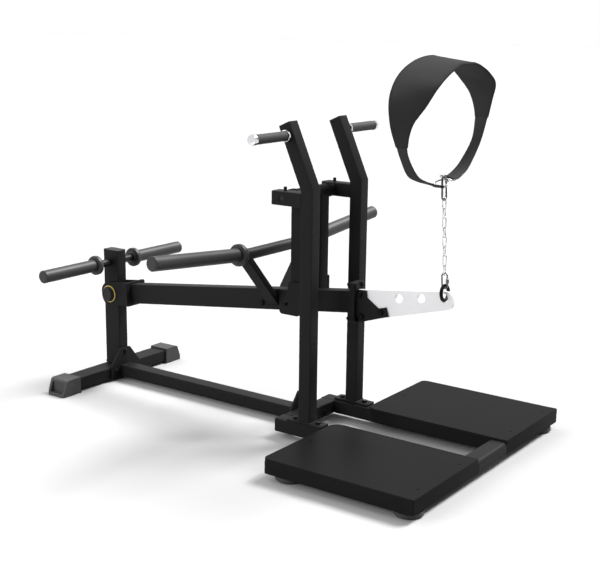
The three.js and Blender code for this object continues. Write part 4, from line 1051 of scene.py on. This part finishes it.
rear_edge, front_edge = loop_edge(rear_radii, rear_offsets), loop_edge(front_radii, front_offsets)
far_end, near_end = 1.93, 14.97  # the pad's visible ends, in steps along its edges
print("pad is", round((rear_edge.at(8) - front_edge.at(8)).length), "mm wide at the back")

# %% [markdown]
# ## Cloth from two edges
# A strip of cloth is a surface between two edges with a thickness. Each section is a row of
# points across it, lifted from the middle by half the thickness, which falls away towards the
# bound edges. The steps along and across are kept on the points for the weave to follow.


# %% Cloth sections
class Cloth(Form):
    """A thick strip between two edges, with its measures for the weave."""

    def __init__(self):
        super().__init__()
        self.measures = {"along": [], "across": []}
        self.length = 0.0

    def strip(self, edges, thickness, across_steps, crown=0.0):
        """Adds a strip between pairs of edge points, all in millimetres."""
        rings, count = [], len(edges)
        middles = [(rear + front) / 2 for rear, front in edges]
        for i, (rear, front) in enumerate(edges):
            way = (middles[min(i + 1, count - 1)] - middles[max(i - 1, 0)]).normalized()
            out = way.cross(front - rear).normalized()
            self.length += (middles[i] - middles[i - 1]).length * mm if i else 0.0
            ring = []
            for face in (1, -1):
                for j in range(across_steps + 1):
                    part = j / across_steps if face == 1 else 1 - j / across_steps
                    rim = min(part, 1 - part) * (front - rear).length
                    inside = 1 - min(rim / (thickness * 0.5), 1.0)
                    full = min(1.0, math.sqrt(1 - inside**2) * 0.75 + 0.25)
                    swell = crown * math.sin(math.pi * part) ** 0.5 if 0 < part < 1 else 0.0
                    point = rear.lerp(front, part) + out * face * (thickness * 0.5 * full + swell)
                    ring.append(belt.at(*point))
                    self.measures["along"].append(self.length)
                    self.measures["across"].append((part - 0.5) * (front - rear).length * mm)
            rings.append(ring)
        self.skin(rings)
        return self


print("cloth is ready")

# %% [markdown]
# ## The pad
# The pad is about 8 mm of foam in a woven cover. Its edges are bound with a flat tape, sewn down
# by a line of stitches just inside. The tape is a thin strip a little thicker than the pad's rim,
# and each stitch is a small bead of thread that dips at both ends.


# %% Pad, binding and stitches
def pad_edge(step, inset):
    """A point on the pad's middle surface, inset from its rear edge (or its front one, if negative)."""
    rear, front = rear_edge.at(step), front_edge.at(step)
    start, goal = (rear, front) if inset >= 0 else (front, rear)
    return start + (goal - start).normalized() * abs(inset)


def pad_out(step):
    way = (pad_edge(step + 0.05, 20) - pad_edge(step - 0.05, 20)).normalized()
    return way.cross(front_edge.at(step) - rear_edge.at(step)).normalized()


def steps_between(low, high, count):
    return [low + (high - low) * i / count for i in range(count + 1)]


pad_steps = steps_between(far_end, near_end, 120)
pad_rows = [(pad_edge(step, 1.2), pad_edge(step, -1.2)) for step in pad_steps]
pad = Cloth().strip(pad_rows, 6.6, across_steps=22, crown=0.7)
pad_piece = pad.piece("belt_pad_cover", "belt", "belt_fabric", ["belt_pad"], sharp=60)

tape_width = 9
binding = Cloth()
for side in (1, -1):
    rows = [(pad_edge(step, side * 0.2), pad_edge(step, side * tape_width)) for step in pad_steps]
    binding.strip([sorted(row, key=lambda point: point.x) for row in rows], 7.6, across_steps=10)
for end in (far_end, near_end):
    inward = 1 if end == far_end else -1
    row = steps_between(end, end + inward * 0.2, 8)
    if inward < 0:
        row.reverse()
    binding.strip([(pad_edge(step, 0.4), pad_edge(step, -0.4)) for step in row], 7.9, across_steps=12)
binding.piece("belt_binding", "belt", "belt_fabric", finish=binding_tape, sharp=60)
print("pad length, m:", round(pad.length, 3))

stitches = Cloth()
stitch_step, thread_radius, stitch_sides = 0.052, 0.25, 6
stitch_rise = ((0.12, -0.5), (0.3, 0.25), (0.7, 0.25), (0.88, -0.5))  # shares of its length, and heights
stitch_corners = len(stitch_rise) * stitch_sides


def stitch(start, goal, out, height):
    """Adds one stitch between two points of a surface."""
    way = goal - start
    path = [start + way * share + out * (height + rise) for share, rise in stitch_rise]
    radii = [thread_radius, thread_radius * 2, thread_radius * 2, thread_radius]
    wire_on(stitches, path, radii, False, stitch_sides, belt)
    stitches.measures["along"].extend([i * 0.0004 for i in range(stitch_corners)])
    stitches.measures["across"].extend([0.0] * stitch_corners)


for side in (1, -1):
    step = far_end + 0.05
    while step < near_end - 0.1:
        for face in (1, -1):
            inset = side * (tape_width - 2.2)
            start, goal = pad_edge(step, inset), pad_edge(step + stitch_step, inset)
            stitch(start, goal, pad_out(step) * face, 3.85)
        step += stitch_step
stitches.piece("belt_stitches", "belt", "belt_fabric", finish=thread, sharp=80)
print("stitches:", len(stitches.corners) // stitch_corners)

# %% [markdown]
# ## Straps and D rings
# At each side the strap comes out of the pad, narrows a little and folds round the straight side
# of its D ring. It is one band of webbing, laid double: out along the upper face, round the wire,
# and back along the lower face into the pad. The hook holds both rings by their round sides. They
# don't hang alike: the near ring lies low and steep, the far one higher, flatter and turned, and
# the far strap rises to meet it. The CAD rings hang the other way round, so here they differ.

# %% D rings
ring_width, ring_reach, ring_corner, ring_wire, ring_past = 24, 40, 5, 2.5, 3
ring_rises = {"near": -1.8, "far": 5.2}
ring_tilts = {"near": math.radians(27), "far": math.radians(6)}
ring_rolls = {"near": 0.0, "far": math.radians(14)}


def ring_point(side_name, point):
    """A point of a D ring's own plane, in the belt's frame."""
    turn = Matrix.Rotation(-ring_tilts[side_name], 3, "X") @ Matrix.Rotation(ring_rolls[side_name], 3, "Y")
    point = turn @ (point + unit_y * ring_past) + Vector((0, -ring_past, ring_rises[side_name]))
    return point if side_name == "far" else mirrored(point)


corner_x, corner_y = ring_width - ring_corner, ring_reach - ring_past - ring_corner
ring_shape = [
    *arc(unit_y * (ring_width - ring_past), unit_x, unit_y, ring_width, 180, 360, 24),
    *arc(Vector((corner_x, corner_y, 0)), unit_x, unit_y, ring_corner, 0, 90, 5),
    *arc(Vector((-corner_x, corner_y, 0)), unit_x, unit_y, ring_corner, 90, 180, 5),
]
for side_name in sides:
    path = [ring_point(side_name, point) for point in ring_shape]
    ring = wire_on(Form(), path, ring_wire, True, 16, belt)
    ring.piece(f"belt_ring_{side_name}_wire", "belt", "chrome", [f"belt_ring_{side_name}"], finish=ring_steel)
print("D rings hang on the hook")

# %% Straps
strap_width, eye_width = 40, 36
strap_angles, strap_radii, strap_offsets = [21, 32, 45], [0.756, 0.784, 0.835], [-0.2, -0.42, -0.52]
strap_lifts = {"near": [0, 0, 0], "far": [9, 3, 0]}


def strap_edges(side_name):
    """Pairs of edge points from the D ring's bar to just inside the pad."""
    rise, tilt = ring_rises[side_name], ring_tilts[side_name]
    eye = Vector((0, ring_reach * math.cos(tilt) - ring_past, rise - ring_reach * math.sin(tilt)))
    drop = math.sin(ring_rolls[side_name])
    last = far_end if side_name == "far" else 16 - near_end
    curves = []
    for end in (0, 1):
        guide = [Vector(((end - 0.5) * eye_width, eye.y, eye.z - drop * (end - 0.5) * eye_width))]
        places = zip(strap_angles, strap_radii, strap_offsets, strap_lifts[side_name])
        for degrees, radius, offset, lift in places:
            point = loop_point(degrees, radius * belt_radius, (offset + end - 0.5) * strap_width)
            guide.append(point + unit_z * (lift - drop * (end - 0.5) * strap_width))
        for step in (0, 1, 2):
            guide.append(pad_edge(step, 3.0 if end == 0 else -3.0))
        curves.append(Curve(guide))
    pairs = [[curve.at(step) for curve in curves] for step in steps_between(0, 4 + last + 0.12, 64)]
    return eye, [pair if side_name == "far" else [mirrored(point) for point in pair] for pair in pairs]


def fold_round(side_name):
    """The webbing's whole way: out along one face, round the ring's bar and back along the other."""
    eye, pairs = strap_edges(side_name)
    side = sides[side_name]
    eye = eye if side == far else mirrored(eye)
    count = len(pairs)

    def shifted(i, amount):
        (rear, front), (after_rear, after_front) = pairs[i], pairs[min(i + 1, count - 1)]
        if i == count - 1:
            (rear, front), (after_rear, after_front) = pairs[i - 1], pairs[i]
        way = ((after_rear + after_front) - (rear + front)).normalized()
        out = way.cross(front - rear).normalized()
        return [point + out * amount for point in pairs[i]], way, out

    def gap(i):
        away = ((pairs[i][0] + pairs[i][1]) / 2 - eye).length
        return 1.05 + 2.85 * (1 - min(away / 24, 1)) ** 1.5

    _, way, out = shifted(0, 0)
    outward = [shifted(i, gap(i))[0] for i in range(count - 1, 0, -1)]
    fold = []
    for angle in (90 + 180 * i / 10 for i in range(11)):
        move = (way * math.cos(math.radians(angle)) + out * math.sin(math.radians(angle))) * 3.9
        fold.append([point + move for point in pairs[0]])
    inward = [shifted(i, -gap(i))[0] for i in range(1, count)]
    return [*outward, *fold, *inward]


for side_name in sides:
    strap = Cloth().strip(fold_round(side_name), 1.9, across_steps=8)
    strap.piece(f"belt_strap_{side_name}", "belt", "belt_fabric", ["belt_pad"], finish=webbing, sharp=60)
    print(side_name, "strap's band is", round(strap.length, 3), "m long before it is folded")

# %% [markdown]
# ## A plain white studio
# The photograph is a catalogue picture: white all round, with broad soft shadows on the floor in
# front of the machine. A bright, even sky makes the white, and a broad sun from behind draws the
# shadows. A wider, weaker sun from the rear post's end and a large lamp on the near side lift the
# near faces a little. The lamp is hidden from reflections, so it leaves no bright patch on the
# steel. The floor is a pale grey that all of them bring up to white, so it turns grey in the
# shade. A dark screen behind the camera keeps the fronts black and gives the chrome something to
# reflect. The camera itself doesn't see it.

# %% Floor and screen
def panel(name, half_width, half_height, finish, place=(0, 0, 0), aim=None):
    """A flat piece of the studio, lying on the floor or facing a point."""
    mesh = bpy.data.meshes.new(name)
    corners = [(x * half_width, y * half_height, 0) for x, y in ((-1, -1), (1, -1), (1, 1), (-1, 1))]
    mesh.from_pydata(corners, [], [(0, 1, 2, 3)])
    mesh.materials.append(finish.material)
    thing = bpy.data.objects.new(name, mesh)
    bpy.context.collection.objects.link(thing)
    thing.location = place
    if aim:
        thing.rotation_euler = (Vector(aim) - Vector(place)).to_track_quat("Z", "Y").to_euler()
    return thing


floor_paint = Finish("studio_white", Base_Color=(0.325, 0.325, 0.325), Roughness=0.9, Specular_IOR_Level=0.05)
screen_cloth = Finish("studio_black", Base_Color=(0.005, 0.005, 0.005), Roughness=1.0, Specular_IOR_Level=0.0)
panel("studio_floor", 60, 60, floor_paint)
screen = panel("studio_screen", 6.0, 2.6, screen_cloth, (6.4, -4.4, 2.9), (0, 0, 0.7))
screen.visible_camera = False
print("floor and screen are set")


# %% Sky, suns and lamp
def light(name, kind, energy, towards, place=(0, 0, 0)):
    """Hangs a light at a place and turns it to shine along a direction."""
    thing = bpy.data.objects.new(name, bpy.data.lights.new(name, kind))
    bpy.context.collection.objects.link(thing)
    thing.data.energy = energy
    thing.location = place
    thing.rotation_euler = Vector(towards).to_track_quat("-Z", "Y").to_euler()
    return thing


sky = bpy.data.worlds.new("studio_sky")
sky.use_nodes = True
sky.node_tree.nodes["Background"].inputs["Color"].default_value = (1, 1, 1, 1)
sky.node_tree.nodes["Background"].inputs["Strength"].default_value = 1.0
bpy.context.scene.world = sky

light("broad_sun", "SUN", 7.6, (-0.34, -0.66, -1.0)).data.angle = math.radians(24)
light("side_sun", "SUN", 1.2, (0.9, -0.1, -0.9)).data.angle = math.radians(45)
lamp_place, lamp_aim = Vector((-1.6, -4.2, 1.9)), Vector((0.3, 0, 0.7))
lamp = light("left_fill", "AREA", 190, lamp_aim - lamp_place, lamp_place)
lamp.data.size = 2.4
lamp.visible_glossy = False
bpy.context.scene.view_settings.view_transform = "Standard"
